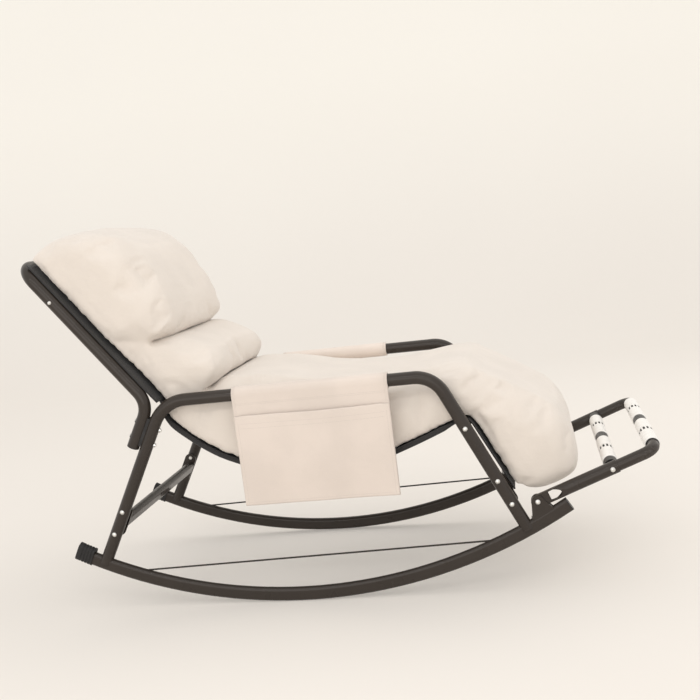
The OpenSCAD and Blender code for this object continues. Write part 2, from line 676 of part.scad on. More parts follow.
// Points of the leg lobe are shares of its drop and of the mat's thickness
drop_dir = -front_up;
leg_back_share = [0.3, 0.6, 1];
function leg_point(v) = seat_bar + drop_dir * mat_drop * v[0] + front_ahead * mat_t * v[1];
leg_outer_share = [[-0.51, 0.06], [-0.575, 0.17], [-0.50, 0.34], [-0.39, 0.42], [-0.20, 0.59], [0.09, 0.83],
    [0.38, 1.03], [0.60, 1.065], [0.79, 1.02], [0.925, 0.97], [0.985, 0.90], [1.0, 0.79], [1.0, 0.585],
    [0.97, 0.36], [0.90, 0.22]];
leg_rest = concat(moved(concat([drop_end + front_up * sling_t, drop_mid],
        [for (v = leg_back_share) drop_mid + (drop_top - drop_mid) * v]), front_ahead * under),
    [on_bar(29.4) + (under + sling_t / 2) * bar_dir(29.4)], moved(reversed(leg_crease), [soft_gap, 0]));
leg_free = skip_ends(spline_open(concat([leg_crease[0]], [for (v = leg_outer_share) leg_point(v)]),
    lobe_steps), 1, 0);

module head_cushion() {
    color(mat_color) lobe(head_rest, head_free, back_up, back_len * 0.42, mat_t * 0.5);
}
module lumbar_cushion() {
    color(mat_color) lobe(lumbar_rest, lumbar_free, back_up, back_len * 0.25, mat_t * 0.45);
}
module seat_cushion() {
    color(mat_color) lobe(seat_rest, seat_free, unit(seat_span), norm(seat_span) * 0.45, mat_t * 0.5);
}
module leg_cushion() {
    color(mat_color) lobe(leg_rest, leg_free, drop_dir, mat_drop * 0.78, mat_t * 0.5);
}

// Armrest covers, in a frame that runs along the arm
module on_arm(y) {
    stand(y) translate([rear_corner[0], rear_corner[1], 0]) rotate([0, 0, arm_angle]) children();
}
cover_r = tube_r + seat_gap + cover_t;
flap_y = cover_r - flap_t;
module sleeve(length) {
    translate([cover_from, 0, 0]) rotate([0, 90, 0]) difference() {
        cylinder(r = cover_r, h = length);
        translate([0, 0, -over]) cylinder(r = tube_r + seat_gap, h = length + 2 * over);
    }
}
module armrest_cover() {
    color(cover_color) on_arm(-half_track) {
        sleeve(cover_len);
        translate([cover_from, -flap_drop, flap_y]) cube([cover_len, flap_drop, flap_t]);
    }
}
module plain_armrest_cover() {
    color(cover_color) on_arm(half_track) sleeve(plain_cover_len);
}
module side_pocket() {
    tall = flap_drop - mouth_drop;
    face = cover_r + tiny_gap;
    color(cover_color) on_arm(-half_track) translate([cover_from, -flap_drop, face]) difference() {
        cube([cover_len, tall, pocket_deep + pocket_t]);
        translate([seam_w, seam_w, -over]) cube([cover_len - 2 * seam_w, tall, pocket_deep + over]);
        for (s = [0, 1]) translate([s * cover_len, 0, pocket_deep + pocket_t]) rotate([0, 45, 0])
            cube([pocket_deep, 3 * tall, pocket_deep], center = true);
        translate([0, 0, pocket_deep + pocket_t]) rotate([45, 0, 0])
            cube([3 * cover_len, pocket_deep, pocket_deep], center = true);
    }
}

// Footrest
pivot_arc = front_foot_arc + arc_span(pivot_ahead);
pivot = arc_point(top_r - pivot_rise, pivot_arc);
module on_footrest(side) {
    translate([pivot[0], side * half_track, pivot[1]])
        rotate([90, 0, 0]) rotate([0, 0, foot_angle]) children();
}
arm_end_at = first_axle_at + arm_past_axle;
module footrest_arm(side) {
    color(tube_color) on_footrest(side) difference() {
        union() {
            translate([0, 0, -tongue_t / 2]) cylinder(r = tongue_r, h = tongue_t);
            translate([0, -tongue_r, -tongue_t / 2]) cube([tongue_len, 2 * tongue_r, tongue_t]);
            hull() {
                translate([tongue_len - over, -tongue_r, -tongue_t / 2])
                    cube([over, 2 * tongue_r, tongue_t]);
                translate([tongue_len + neck_len, 0, 0]) rotate([0, 90, 0])
                    cylinder(r = tube_r, h = over, $fn = 32);
            }
            along_x([tongue_len + neck_len, 0], [arm_end_at, 0])
                cylinder(r = tube_r, h = arm_end_at - tongue_len - neck_len);
        }
        along_x([tongue_len + neck_len, 0], [arm_end_at, 0])
            cylinder(r = end_tube_d / 2 + tiny_gap, h = arm_end_at);
        hull() {
            translate([tongue_len / 2, tube_wall - tongue_r, tube_wall - tongue_t / 2])
                cube([tongue_len / 2, 2 * tongue_r - 2 * tube_wall, tongue_t - 2 * tube_wall]);
            translate([tongue_len + neck_len - over, 0, 0]) rotate([0, 90, 0])
                cylinder(r = end_tube_d / 2 + tiny_gap, h = 2 * over, $fn = 32);
        }
        translate([0, 0, -tube_d]) cylinder(r = pivot_d / 2 + pivot_play, h = 2 * tube_d);
        axle_bores(side);
    }
}
// The axle's bore in the inner wall and the screw's bore in the outer wall
module axle_bores(side) {
    translate([first_axle_at, 0, 0]) rotate([side < 0 ? 0 : 180, 0, 0]) {
        translate([0, 0, -tube_d]) cylinder(r = axle_d / 2 + tiny_gap, h = tube_d);
        cylinder(r = screw_d / 2 + tiny_gap, h = tube_d);
    }
}
end_from = arm_end_at - end_overlap;
module footrest_end(side) {
    turn_x = second_axle_at;
    inward = end_bend_r + end_reach;
    color(tube_color) difference() {
        translate([pivot[0], side * half_track, pivot[1]]) rotate([0, -foot_angle, 0])
            path_tube([[end_from, 0], [turn_x, 0], [turn_x, -side * inward]], [end_bend_r],
                end_tube_d / 2, tube_wall);
        on_footrest(side) axle_bores(side);
    }
}
first_reach = half_track + axle_in_tube;
second_reach = half_track - end_bend_r - end_reach + bush_len;
module first_axle() {
    color(screw_color) on_footrest(0) difference() {
        translate([first_axle_at, 0, -first_reach]) cylinder(r = axle_d / 2, h = 2 * first_reach);
        for (s = [-1, 1]) translate([first_axle_at, 0, s * first_reach])
            cylinder(r = screw_d / 2, h = 3 * axle_d, center = true);
        translate([first_axle_at, 0, 0])
            cylinder(r = axle_d / 2 - axle_wall, h = 2 * (first_reach - axle_d), center = true);
    }
}
module second_axle() {
    bush_r = end_tube_d / 2 - tube_wall - tiny_gap;
    color(screw_color) on_footrest(0) translate([second_axle_at, 0, 0]) difference() {
        union() {
            cylinder(r = axle_d / 2, h = 2 * second_reach, center = true);
            for (s = [-1, 1]) translate([0, 0, s * (second_reach - bush_len / 2)])
                cylinder(r = bush_r, h = bush_len, center = true);
        }
        cylinder(r = axle_d / 2 - axle_wall, h = 2 * second_reach + over, center = true);
    }
}
module axle_screw(side) {
    outer = tube_r + tiny_gap;
    turn = side < 0 ? 0 : 180;
    color(screw_color) on_footrest(side) translate([first_axle_at, 0, 0]) rotate([turn, 0, 0]) {
        translate([0, 0, -tube_r / 2]) cylinder(r = screw_d / 2 - tiny_gap, h = outer + tube_r / 2);
        translate([0, 0, outer]) dome_head(bolt_head_d / 2, bolt_head_h);
    }
}
flange_y = half_track - tube_r - seat_gap - flange_t;
roller_len = flange_y - spacer_t / 2 - 2 * end_play;
washer_y = half_track - end_bend_r - end_reach - seat_gap - washer_t;
second_roller_len = washer_y - spacer_t / 2 - 2 * end_play;
module ring_on_axle(at, y, r, t) {
    on_footrest(0) translate([at, 0, y]) difference() {
        cylinder(r = r, h = t);
        translate([0, 0, -over]) cylinder(r = axle_d / 2 + axle_play, h = t + 2 * over);
    }
}
module axle_flanges() {
    color(black_color) {
        ring_on_axle(first_axle_at, flange_y, flange_d / 2, flange_t);
        ring_on_axle(first_axle_at, -flange_y - flange_t, flange_d / 2, flange_t);
        ring_on_axle(second_axle_at, washer_y, end_tube_d / 2, washer_t);
        ring_on_axle(second_axle_at, -washer_y - washer_t, end_tube_d / 2, washer_t);
    }
}
module axle_spacers() {
    color(black_color) for (at = [first_axle_at, second_axle_at])
        ring_on_axle(at, -spacer_t / 2, spacer_d / 2, spacer_t);
}
// A roller has rounded ends, a groove near each end and a belt of slots round its middle
module roller(at, side, length) {
    start = side > 0 ? -spacer_t / 2 - end_play - length : spacer_t / 2 + end_play;
    color(roller_color) on_footrest(0) translate([at, 0, start]) difference() {
        rotate_extrude() roller_outline(length);
        for (i = [0 : belt_ribs - 1]) rotate([0, 0, i * 360 / belt_ribs])
            translate([roller_d / 2, 0, (length - belt_len) / 2]) slot();
        translate([0, 0, -over]) cylinder(r = axle_d / 2 + axle_play, h = length + 2 * over);
    }
}
module slot() {
    translate([-slot_deep, -slot_w / 2, 0]) cube([2 * slot_deep, slot_w, belt_len]);
}
module roller_outline(length) {
    r = roller_d / 2;
    end_r = roller_d / 10;
    difference() {
        union() {
            square([r - end_r, length]);
            translate([0, end_r]) square([r, length - 2 * end_r]);
            for (h = [end_r, length - end_r]) translate([r - end_r, h]) circle(r = end_r);
        }
        for (h = [roller_d * 0.4, length - roller_d * 0.4]) translate([r, h]) circle(r = groove_deep);
        translate([-r, -over]) square([r, length + 2 * over]);
    }
}

// Pivot brackets: two ears on each runner, round at the pivot
ear_inner = tongue_t / 2 + ear_gap;
ear_back = 41.5;
ear_fore = 27;
ear_arc_a = pivot_arc - arc_span(ear_back);
ear_arc_b = pivot_arc + arc_span(ear_fore);
base_in = 0.25;
module ear_outline() {
    ear_r = pivot_d * 2;
    foot_a = arc_point(top_r + oval_h * 0.35, ear_arc_a);
    foot_b = arc_point(top_r + oval_h * 0.35, ear_arc_b);
    base = arc_point(top_r, (ear_arc_a + ear_arc_b) / 2);
    d = unit(pivot - base);
    e = [d[1], -d[0]];
    translate(pivot) circle(r = ear_r);
    polygon([pivot - e * ear_r, foot_a, foot_b, pivot + e * ear_r]);
}
module pivot_bracket(side) {
    half_w = ear_inner + ear_t * 0.6;
    color(tube_color) difference() {
        union() {
            for (s = [-1, 1]) stand(side * half_track + s * (ear_inner + ear_t / 2))
                linear_extrude(height = ear_t, center = true) ear_outline();
            on_rocker(side) rotate([0, 0, ear_arc_a + base_in - 90])
                rotate_extrude(angle = ear_arc_b - ear_arc_a - 2 * base_in, $fn = arc_fn)
                    translate([top_r - base_t, -half_w]) square([base_t + oval_h * 0.25, 2 * half_w]);
        }
        on_rocker(side) runner_body(tiny_gap);
        across(pivot, side * half_track - tube_d, side * half_track + tube_d, pivot_d / 2 + pivot_play);
    }
}
module pivot_bolt(side) {
    reach = ear_inner + ear_t + tiny_gap;
    turn = side < 0 ? 0 : 180;
    color(screw_color) translate([pivot[0], side * half_track, pivot[1]]) rotate([90, 0, turn]) {
        translate([0, 0, -reach - nut_h - thread_end])
            cylinder(r = pivot_d / 2, h = 2 * reach + nut_h + thread_end);
        translate([0, 0, reach]) dome_head(pivot_d * 0.8, bolt_head_h);
        translate([0, 0, -reach - nut_h]) cylinder(r = pivot_d * 0.85, h = nut_h, $fn = 6);
    }
}

runner(far_side);  // left_runner
runner(near_side);  // right_runner
tie_rod(far_side);  // left_tie_rod
tie_rod(near_side);  // right_tie_rod
rear_boot(far_side);  // left_rear_boot
rear_boot(near_side);  // right_rear_boot
runner_plug(far_side);  // left_runner_plug
runner_plug(near_side);  // right_runner_plug
side_frame(far_side);  // left_side_frame
side_frame(near_side);  // right_side_frame
crossbar(rear_bar, rear_foot, rear_up, rear_bar_up, rear_lean);  // rear_crossbar
crossbar(front_bar, front_foot, front_up, front_bar_up, -front_lean);  // front_crossbar
seat_front_bar();
for (side = [near_side, far_side]) for (s = [-1, 1]) {  // crossbar_bolts
    crossbar_bolt(rear_leg_bolt(s), side);
    crossbar_bolt(front_leg_bolt(s), side);
}
for (side = [near_side, far_side]) seat_bar_screw(side);  // seat_bar_screws
back_upright(far_side);  // left_back_upright
back_upright(near_side);  // right_back_upright
back_bow();
for (side = [near_side, far_side]) bow_screw(side);  // bow_screws
for (side = [near_side, far_side]) upright_plug(side);  // upright_plugs
for (side = [near_side, far_side]) saddle_strip(side);  // saddle_strips
for (side = [near_side, far_side])  // back_bolts
    for (share = bolt_places_share) back_bolt(side, share);
sling();
head_cushion();
lumbar_cushion();
seat_cushion();
leg_cushion();
armrest_cover();
side_pocket();
plain_armrest_cover();
pivot_bracket(far_side);  // left_pivot_bracket
pivot_bracket(near_side);  // right_pivot_bracket
for (side = [near_side, far_side]) pivot_bolt(side);  // pivot_bolts
footrest_arm(far_side);  // left_footrest_arm
footrest_arm(near_side);  // right_footrest_arm
footrest_end(far_side);  // left_footrest_end
footrest_end(near_side);  // right_footrest_end
first_axle();
second_axle();
for (side = [near_side, far_side]) axle_screw(side);  // axle_screws
axle_flanges();
axle_spacers();
roller(first_axle_at, near_side, roller_len);  // first_roller_near
roller(first_axle_at, far_side, roller_len);  // first_roller_far
roller(second_axle_at, near_side, second_roller_len);  // second_roller_near
roller(second_axle_at, far_side, second_roller_len);  // second_roller_far
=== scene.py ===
"""Rocking lounge chair: the soft parts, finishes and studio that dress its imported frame."""

import math

import bmesh
import bpy
import numpy as np
from bpy.props import FloatProperty, FloatVectorProperty, PointerProperty
from bpy.types import Operator, Panel, PropertyGroup
from mathutils import Euler, Matrix, Vector, noise
from mathutils.bvhtree import BVHTree


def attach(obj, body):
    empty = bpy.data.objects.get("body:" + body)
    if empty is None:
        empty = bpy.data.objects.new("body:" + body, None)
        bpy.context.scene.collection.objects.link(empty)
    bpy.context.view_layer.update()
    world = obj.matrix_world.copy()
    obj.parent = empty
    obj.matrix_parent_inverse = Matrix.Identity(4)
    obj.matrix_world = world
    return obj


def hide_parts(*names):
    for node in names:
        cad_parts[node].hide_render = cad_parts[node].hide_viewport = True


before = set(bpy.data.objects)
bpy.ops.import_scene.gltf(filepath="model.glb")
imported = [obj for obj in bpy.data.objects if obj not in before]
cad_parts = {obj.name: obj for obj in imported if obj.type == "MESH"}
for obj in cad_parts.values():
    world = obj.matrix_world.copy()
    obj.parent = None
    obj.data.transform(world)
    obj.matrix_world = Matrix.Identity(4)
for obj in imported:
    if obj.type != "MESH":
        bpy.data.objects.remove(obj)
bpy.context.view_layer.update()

bl_info = {
    "name": "Rocking Lounge Chair",
    "version": (1, 0, 0),
    "blender": (4, 5, 0),
    "location": "3D View > Sidebar > Rocker",
    "description": "Mat, sling, armrest covers, finishes and studio of a rocking lounge chair",
    "category": "Add Mesh",
}

MM = 0.001

# The frame's lines in the XZ plane, in millimetres: they repeat the part's own sizes

ROCKER_R = 1326.0
RUNNER_T = 36.0
TOP_R = ROCKER_R - RUNNER_T
TRACK = 550.0
TUBE_R = 16.0
REAR_CORNER = Vector((-297.4, 544.6))
FRONT_CORNER = Vector((396.2, 554.2))
REAR_LEAN = math.radians(27.6)
FRONT_LEAN = math.radians(26.1)
BACK_ANGLE = math.radians(52.1)
BACK_LEN = 475.0
TAIL_UP = 436.0
TAIL_BACK = 34.0
SEAT_BAR_UP = 274.0
PIVOT = Vector((618.144, 226.901))
FOOT_ANGLE = math.radians(21.5)
FIRST_AXLE_AT = 194.0
SECOND_AXLE_AT = 302.0

REAR_UP = Vector((math.sin(REAR_LEAN), math.cos(REAR_LEAN)))
FRONT_UP = Vector((-math.sin(FRONT_LEAN), math.cos(FRONT_LEAN)))
REAR_AHEAD = Vector((REAR_UP.y, -REAR_UP.x))
FRONT_AHEAD = Vector((FRONT_UP.y, -FRONT_UP.x))
ARM_DIR = (FRONT_CORNER - REAR_CORNER).normalized()
ARM_UP = Vector((-ARM_DIR.y, ARM_DIR.x))
ARM_TILT = math.atan2(ARM_DIR.y, ARM_DIR.x)
BACK_UP = Vector((-math.cos(BACK_ANGLE), math.sin(BACK_ANGLE)))
BACK_OUT = Vector((math.sin(BACK_ANGLE), math.cos(BACK_ANGLE)))
FOOT_DIR = Vector((math.cos(FOOT_ANGLE), math.sin(FOOT_ANGLE)))
FIRST_AXLE = PIVOT + FOOT_DIR * FIRST_AXLE_AT
SECOND_AXLE = PIVOT + FOOT_DIR * SECOND_AXLE_AT


def runner_foot(corner, down):
    """Where a leg's line from its corner meets the top of the runner."""
    q = corner - Vector((0.0, ROCKER_R))
    b = q.dot(down)
    return corner + down * (math.sqrt(b * b - q.dot(q) + TOP_R * TOP_R) - b)


REAR_FOOT = runner_foot(REAR_CORNER, -REAR_UP)
FRONT_FOOT = runner_foot(FRONT_CORNER, -FRONT_UP)
SEAT_BAR = FRONT_FOOT + FRONT_UP * SEAT_BAR_UP
BACK_CORNER = REAR_FOOT + REAR_UP * TAIL_UP - REAR_AHEAD * TAIL_BACK
SEAT_SPAN = SEAT_BAR - BACK_CORNER
SEAT_OUT = Vector((-SEAT_SPAN.y, SEAT_SPAN.x)).normalized()

# The sling and the back panel, in millimetres

SLING_T = 4.0
SLING_W = 500.0
SLING_LAP = 8.0
BAR_WRAP = 14.8
DROP_OUT = 19.3
DROP_BEND_UP = 119.0
DROP_END_UP = 77.0
DROP_TOP = SEAT_BAR + FRONT_AHEAD * (BAR_WRAP + 1.0)
DROP_MID = FRONT_FOOT + FRONT_UP * DROP_BEND_UP + FRONT_AHEAD * DROP_OUT
DROP_END = FRONT_FOOT + FRONT_UP * DROP_END_UP + FRONT_AHEAD * DROP_OUT
# The panel's middle lies clear of the uprights, and goes down past their bend
PANEL_CLEAR = 3.3
PANEL_OUT = TUBE_R + PANEL_CLEAR
PANEL_BELOW = BACK_LEN * 0.032
PANEL_FOOT = BACK_CORNER - BACK_UP * PANEL_BELOW + BACK_OUT * PANEL_OUT
SLING_START = PANEL_FOOT + BACK_UP * SLING_LAP
SLING_DIP = PANEL_FOOT - (BACK_UP * 4.27 + BACK_OUT * 2.78) * SLING_T
# Shares of the seat's span and of the mat's thickness
SLING_SHARES = [
    (0.042, -0.19), (0.076, -0.32), (0.124, -0.44), (0.186, -0.57), (0.257, -0.674), (0.368, -0.759),
    (0.498, -0.774), (0.617, -0.699), (0.716, -0.565), (0.789, -0.41), (0.872, -0.22), (0.945, -0.04),
]
# The sling's free stretch, between the back panel and the bar, as places in its line
SAG_FROM = 6
SAG_TO = 40

# The mat, in millimetres. Its outlines are in shares of the length of the back, the seat or the drop, and
# of the mat's thickness.

MAT_T = 200.0
MAT_W = 478.0
MAT_DROP = 246.0
MAT_OUT = 22.7
SOFT_GAP = 0.4
HEAD_OUTER = [
    (0.245, 0.33), (0.215, 0.48), (0.184, 0.63), (0.196, 0.715), (0.25, 0.79), (0.31, 0.865),
    (0.38, 0.915), (0.45, 0.955), (0.63, 1.02), (0.77, 0.96), (0.87, 0.85), (0.96, 0.65),
    (1.01, 0.42), (1.028, 0.2), (1.02, 0.06), (1.0, 0.0),
]
LUMBAR_OUTER = [
    (0.243, 0.33), (0.213, 0.46), (0.168, 0.61), (0.075, 0.75), (-0.01, 0.845), (-0.075, 0.885),
    (-0.125, 0.83), (-0.145, 0.71), (-0.15, 0.52),
]
SEAT_TOP = [
    (0.163, 0.185), (0.197, 0.255), (0.242, 0.31), (0.35, 0.36), (0.446, 0.352), (0.549, 0.345),
    (0.646, 0.375), (0.734, 0.43), (0.82, 0.525), (0.88, 0.60),
]
LEG_OUTER = [
    (-0.575, 0.17), (-0.50, 0.34), (-0.39, 0.42), (-0.20, 0.59), (0.09, 0.83), (0.38, 1.03),
    (0.60, 1.065), (0.79, 1.02), (0.925, 0.97), (0.985, 0.90), (1.0, 0.79), (1.0, 0.585), (0.97, 0.36),
    (0.90, 0.22),
]
# Each lobe's long way, with half its length and half its thickness
LOBES = {
    "head": (BACK_UP, BACK_LEN * 0.42, MAT_T * 0.5),
    "lumbar": (BACK_UP, BACK_LEN * 0.25, MAT_T * 0.45),
    "seat": (SEAT_SPAN.normalized(), SEAT_SPAN.length * 0.45, MAT_T * 0.5),
    "leg": (-FRONT_UP, MAT_DROP * 0.78, MAT_T * 0.5),
}
# How much wider the filled mat is on each side, and where along the back the head's part of it comes in
SIDE_EXTRA = 11.0
HEAD_EXTRA = 14.0
HEAD_WIDENS_FROM = 0.16
HEAD_WIDE_AT = 0.42

# The armrest covers, in millimetres: their places on the arm, and radii and distances from its axis

COVER_FROM = 187.0
COVER_LEN = 397.0
PLAIN_LEN = 320.0
SLEEVE_R = 18.75
FLAP_OUT = 19.0
FLAP_DROP = 284.0
MOUTH_DROP = 52.0
POCKET_OUT = 22.95
COVER_T = 3.6
POCKET_T = 1.5
THREAD_R = 20.45

# Stitching

# Pitch, length, radius and lift of the stitches, and one stitch's shares of its length and width
COVER_STITCH = (3.4, 2.5, 0.4, 0.0)
SLING_STITCH = (3.6, 2.7, 0.42, 0.05)
STITCH_FORM = ((-1.0, 0.35), (-0.6, 0.9), (0.0, 1.0), (0.6, 0.9), (1.0, 0.35))
STITCH_SIDES = 6

# Nodes of the frame, by their finish


def left_and_right(*names):
    return [side + name for name in names for side in ("left_", "right_")]


MAT_NODES = ["head_cushion", "lumbar_cushion", "seat_cushion", "leg_cushion"]
FRAME_NODES = ["rear_crossbar", "front_crossbar", "seat_front_bar", "back_bow"]
FRAME_NODES += left_and_right(
    "runner", "side_frame", "back_upright", "pivot_bracket", "footrest_arm", "footrest_end"
)
ROD_NODES = left_and_right("tie_rod")
BOOT_NODES = left_and_right("rear_boot") + ["saddle_strips"]
PLUG_NODES = left_and_right("runner_plug") + ["upright_plugs", "axle_flanges", "axle_spacers"]
FASTENER_NODES = [
    "crossbar_bolts", "seat_bar_screws", "bow_screws", "back_bolts", "pivot_bolts", "axle_screws",
]
AXLE_NODES = ["first_axle", "second_axle"]
FIRST_ROLLERS = ["first_roller_near", "first_roller_far"]
SECOND_ROLLERS = ["second_roller_near", "second_roller_far"]


# Curves


def smooth(points, steps):
    """A curve through the points, with the given steps between each two."""
    p = [Vector(q) for q in points]
    curve = []
    for i in range(len(p) - 1):
        a, b, c, d = p[max(i - 1, 0)], p[i], p[i + 1], p[min(i + 2, len(p) - 1)]
        for k in range(steps):
            t = k / steps
            bend = 2 * a - 5 * b + 4 * c - d
            turn = 3 * b - a - 3 * c + d
            curve.append(0.5 * (2 * b + (c - a) * t + bend * t * t + turn * t**3))
    return curve + [p[-1]]


def heading(points, i):
    """The way a line runs at one of its points."""
    return (points[min(i + 1, len(points) - 1)] - points[max(i - 1, 0)]).normalized()


def beside(points, distance):
    """The points moved to the left of the way they run."""
    moved = []
    for i, p in enumerate(points):
        t = heading(points, i)
        moved.append(p + Vector((-t.y, t.x)) * distance)
    return moved


def length_of(points):
    return sum((b - a).length for a, b in zip(points[:-1], points[1:]))


def run_along(points):
    """How far along a line each of its points lies."""
    return np.concatenate([[0.0], np.cumsum(np.linalg.norm(np.diff(points, axis=0), axis=1))])


def back_point(v):
    return BACK_CORNER + BACK_UP * BACK_LEN * v[0] + BACK_OUT * (MAT_OUT + MAT_T * v[1])


def seat_point(v):
    return BACK_CORNER + SEAT_SPAN * v[0] + SEAT_OUT * (MAT_T * v[1])


def leg_point(v):
    return SEAT_BAR - FRONT_UP * MAT_DROP * v[0] + FRONT_AHEAD * MAT_T * v[1]


def on_bar(degrees, radius=BAR_WRAP):
    """A point on the way round the seat's front bar."""
    a = math.radians(degrees)
    return SEAT_BAR + (FRONT_AHEAD * math.cos(a) + FRONT_UP * math.sin(a)) * radius


def sling_line():
    """The seat sling's middle line, from the foot of the back to the front crossbar."""
    path = [SLING_START, SLING_DIP] + [seat_point(v) for v in SLING_SHARES] + [on_bar(85.4)]
    round_bar = [on_bar(74.4 - 11.0 * k) for k in range(7)]
    return smooth(path, 3) + round_bar + [DROP_TOP, DROP_MID, DROP_END]


def mat_outline():
    """The mat in the XZ plane: the points it rests on, from the top of the back down to the end of its
    drop, and the free points of its leg, seat, lumbar and head lobes on the way back up."""
    under = beside(sling_line(), SLING_T / 2 + SOFT_GAP)
    off_sling = FRONT_AHEAD * (SLING_T / 2 + SOFT_GAP)
    rest = [back_point((share, 0.0)) for share in (1.0, 0.8, 0.6, 0.42, 0.25, 0.12, 0.0, -0.05)]
    rest += under[4:42:2]
    rest += [on_bar(a, BAR_WRAP + SLING_T / 2 + 2 * SOFT_GAP) for a in (80.0, 58.0, 36.0, 14.0)]
    rest += [p + off_sling for p in (DROP_TOP, DROP_TOP.lerp(DROP_MID, 0.5), DROP_MID)]
    rest.append(DROP_END + off_sling + FRONT_UP * SLING_T)
    front = smooth([seat_point(v) for v in SEAT_TOP] + [leg_point(v) for v in LEG_OUTER], 3)[:-1]
    split = 3 * len(SEAT_TOP) - 3
    lobes = {
        "leg": front[split:][::-1],
        "seat": front[:split][::-1],
        "lumbar": smooth([back_point(v) for v in LUMBAR_OUTER], 3)[1:][::-1],
        "head": smooth([back_point(v) for v in HEAD_OUTER], 3)[:-1],
    }
    return rest, lobes


# Meshes


def shade_smooth(mesh):
    mesh.polygons.foreach_set("use_smooth", [True] * len(mesh.polygons))


def new_piece(name, points, faces, material):
    """An object from points in millimetres, in the frame's own axes."""
    mesh = bpy.data.meshes.new(name)
    mesh.from_pydata([tuple(MM * c for c in p) for p in points], [], faces)
    mesh.validate()
    shade_smooth(mesh)
    mesh.materials.append(material)
    piece = bpy.data.objects.new(name, mesh)
    bpy.context.scene.collection.objects.link(piece)
    return piece


def get_points(piece, key="co"):
    """The places of a piece's points, or their normals."""
    numbers = np.empty(len(piece.data.vertices) * 3, np.float32)
    piece.data.vertices.foreach_get(key, numbers)
    return numbers.reshape(-1, 3).astype(float)


def set_points(piece, co):
    piece.data.vertices.foreach_set("co", co.astype(np.float32).ravel())
    piece.data.update()


def apply_modifiers(piece):
    """Bakes what the modifiers make into the piece's own mesh."""
    graph = bpy.context.evaluated_depsgraph_get()
    baked = bpy.data.meshes.new_from_object(piece.evaluated_get(graph), depsgraph=graph)
    piece.modifiers.clear()
    old = piece.data
    piece.data = baked
    bpy.data.meshes.remove(old)


def evenly(points, count):
    """A closed outline, its place in the first two columns, put at even distances along itself."""
    p = np.vstack([points, points[:1]])
    run = run_along(p[:, :2])
    at = np.linspace(0.0, run[-1], count, endpoint=False)
    return np.stack([np.interp(at, run, column) for column in p.T], axis=1)


def evened(rows, rounds):
    """Rows of a closed outline, each drawn towards its neighbours."""
    for _ in range(rounds):
        rows = rows + (np.roll(rows, 1, axis=0) + np.roll(rows, -1, axis=0) - 2 * rows) * 0.25
    return rows


def wavy(x, y, z, seed):
    """Smooth noise from -1 to 1."""
    return noise.noise(Vector((x + 7.3 * seed, y - 3.1 * seed, z + 1.7 * seed)))


def quads(rows, columns, closed, first=0):
    """Faces between rows of points."""
    faces = []
    for i in range(rows - 1):
        for j in range(columns if closed else columns - 1):
            a, b = first + i * columns + j, first + i * columns + (j + 1) % columns
            faces.append((a, b, b + columns, a + columns))
    return faces


def cloth_mesh(rows, thickness):
    """A closed sheet of the given thickness about a grid of points, in millimetres."""
    grid = np.array(rows, float)
    n, m = grid.shape[:2]
    normal = np.cross(np.gradient(grid, axis=0), np.gradient(grid, axis=1))
    normal /= np.maximum(np.linalg.norm(normal, axis=2, keepdims=True), 1e-9)
    upper = (grid + normal * thickness / 2).reshape(-1, 3)
    lower = (grid - normal * thickness / 2).reshape(-1, 3)
    faces = []
    for i in range(n - 1):
        for j in range(m - 1):
            a, b, c, d = i * m + j, (i + 1) * m + j, (i + 1) * m + j + 1, i * m + j + 1
            faces.append((a, b, c, d))
            faces.append((d + n * m, c + n * m, b + n * m, a + n * m))
    rim = list(range(m)) + [i * m + m - 1 for i in range(1, n)]
    rim += [(n - 1) * m + j for j in range(m - 2, -1, -1)] + [i * m for i in range(n - 2, 0, -1)]
    for a, b in zip(rim, rim[1:] + rim[:1]):
        faces.append((a, b, b + n * m, a + n * m))
    return np.vstack([upper, lower]), faces


def at_run(place, run, rows):
    """The row that lies at a place along a line, between its own rows."""
    return np.array([np.interp(place, run, rows[:, k]) for k in range(3)])


def stitches(line, normals, form):
    """Points and faces of a row of stitches, laid on a line of points in millimetres."""
    pitch, length, radius, lift = form
    line = np.array(line, float)
    normals = np.array(normals, float)
    run = run_along(line)
    points, faces = [], []
    for at in np.arange(pitch / 2, run[-1] - pitch / 2, pitch):
        centre = at_run(at, run, line)
        ahead = at_run(at + 1, run, line) - centre
        ahead /= max(np.linalg.norm(ahead), 1e-9)
        up = at_run(at, run, normals)
        up /= max(np.linalg.norm(up), 1e-9)
        side = np.cross(up, ahead)
        first = len(points)
        for share, wide in STITCH_FORM:
            hub = centre + ahead * share * length / 2 + up * (lift - radius * 0.8 * share * share)
            for k in range(STITCH_SIDES):
                a = 2 * math.pi * k / STITCH_SIDES
                points.append(hub + (side * math.cos(a) + up * math.sin(a) * 0.7) * radius * wide)
        faces += quads(len(STITCH_FORM), STITCH_SIDES, True, first)
        last = len(points) - STITCH_SIDES
        faces.append(tuple(first + k for k in range(STITCH_SIDES - 1, -1, -1)))
        faces.append(tuple(last + k for k in range(STITCH_SIDES)))
    return points, faces


def joined(parts):
    """One list of points and one of faces from several."""
    points, faces = [], []
    for p, f in parts:
        start = len(points)
        points.extend(p)
        faces.extend(tuple(i + start for i in face) for face in f)
    return points, faces


# Mat

RING_POINTS = 640
RINGS = 61
# Powers of the curve by which the lobes draw in towards their sides, and the last share that it is used at
SIDE_POWER = 8
EDGE_POWER = 0.0885
LAST_SHARE = 0.9993
# A lobe is drawn towards a point between its centre and what it rests on
CENTRE_SHARE = 0.55
SWELL_FRAMES = 20
# Distances from what the mat rests on, in metres: its points are held, its cloth begins to stand proud of
# its solids, is fully proud, and may stand out as far as it likes
HELD_WITHIN = 0.009
PROUD_FROM = 0.004
PROUD_OVER = 0.03
FREE_FROM = 0.05
PLEAT_DEPTH = 0.0022
PLEAT_REACH = 0.022
PLEAT_SEED = 4


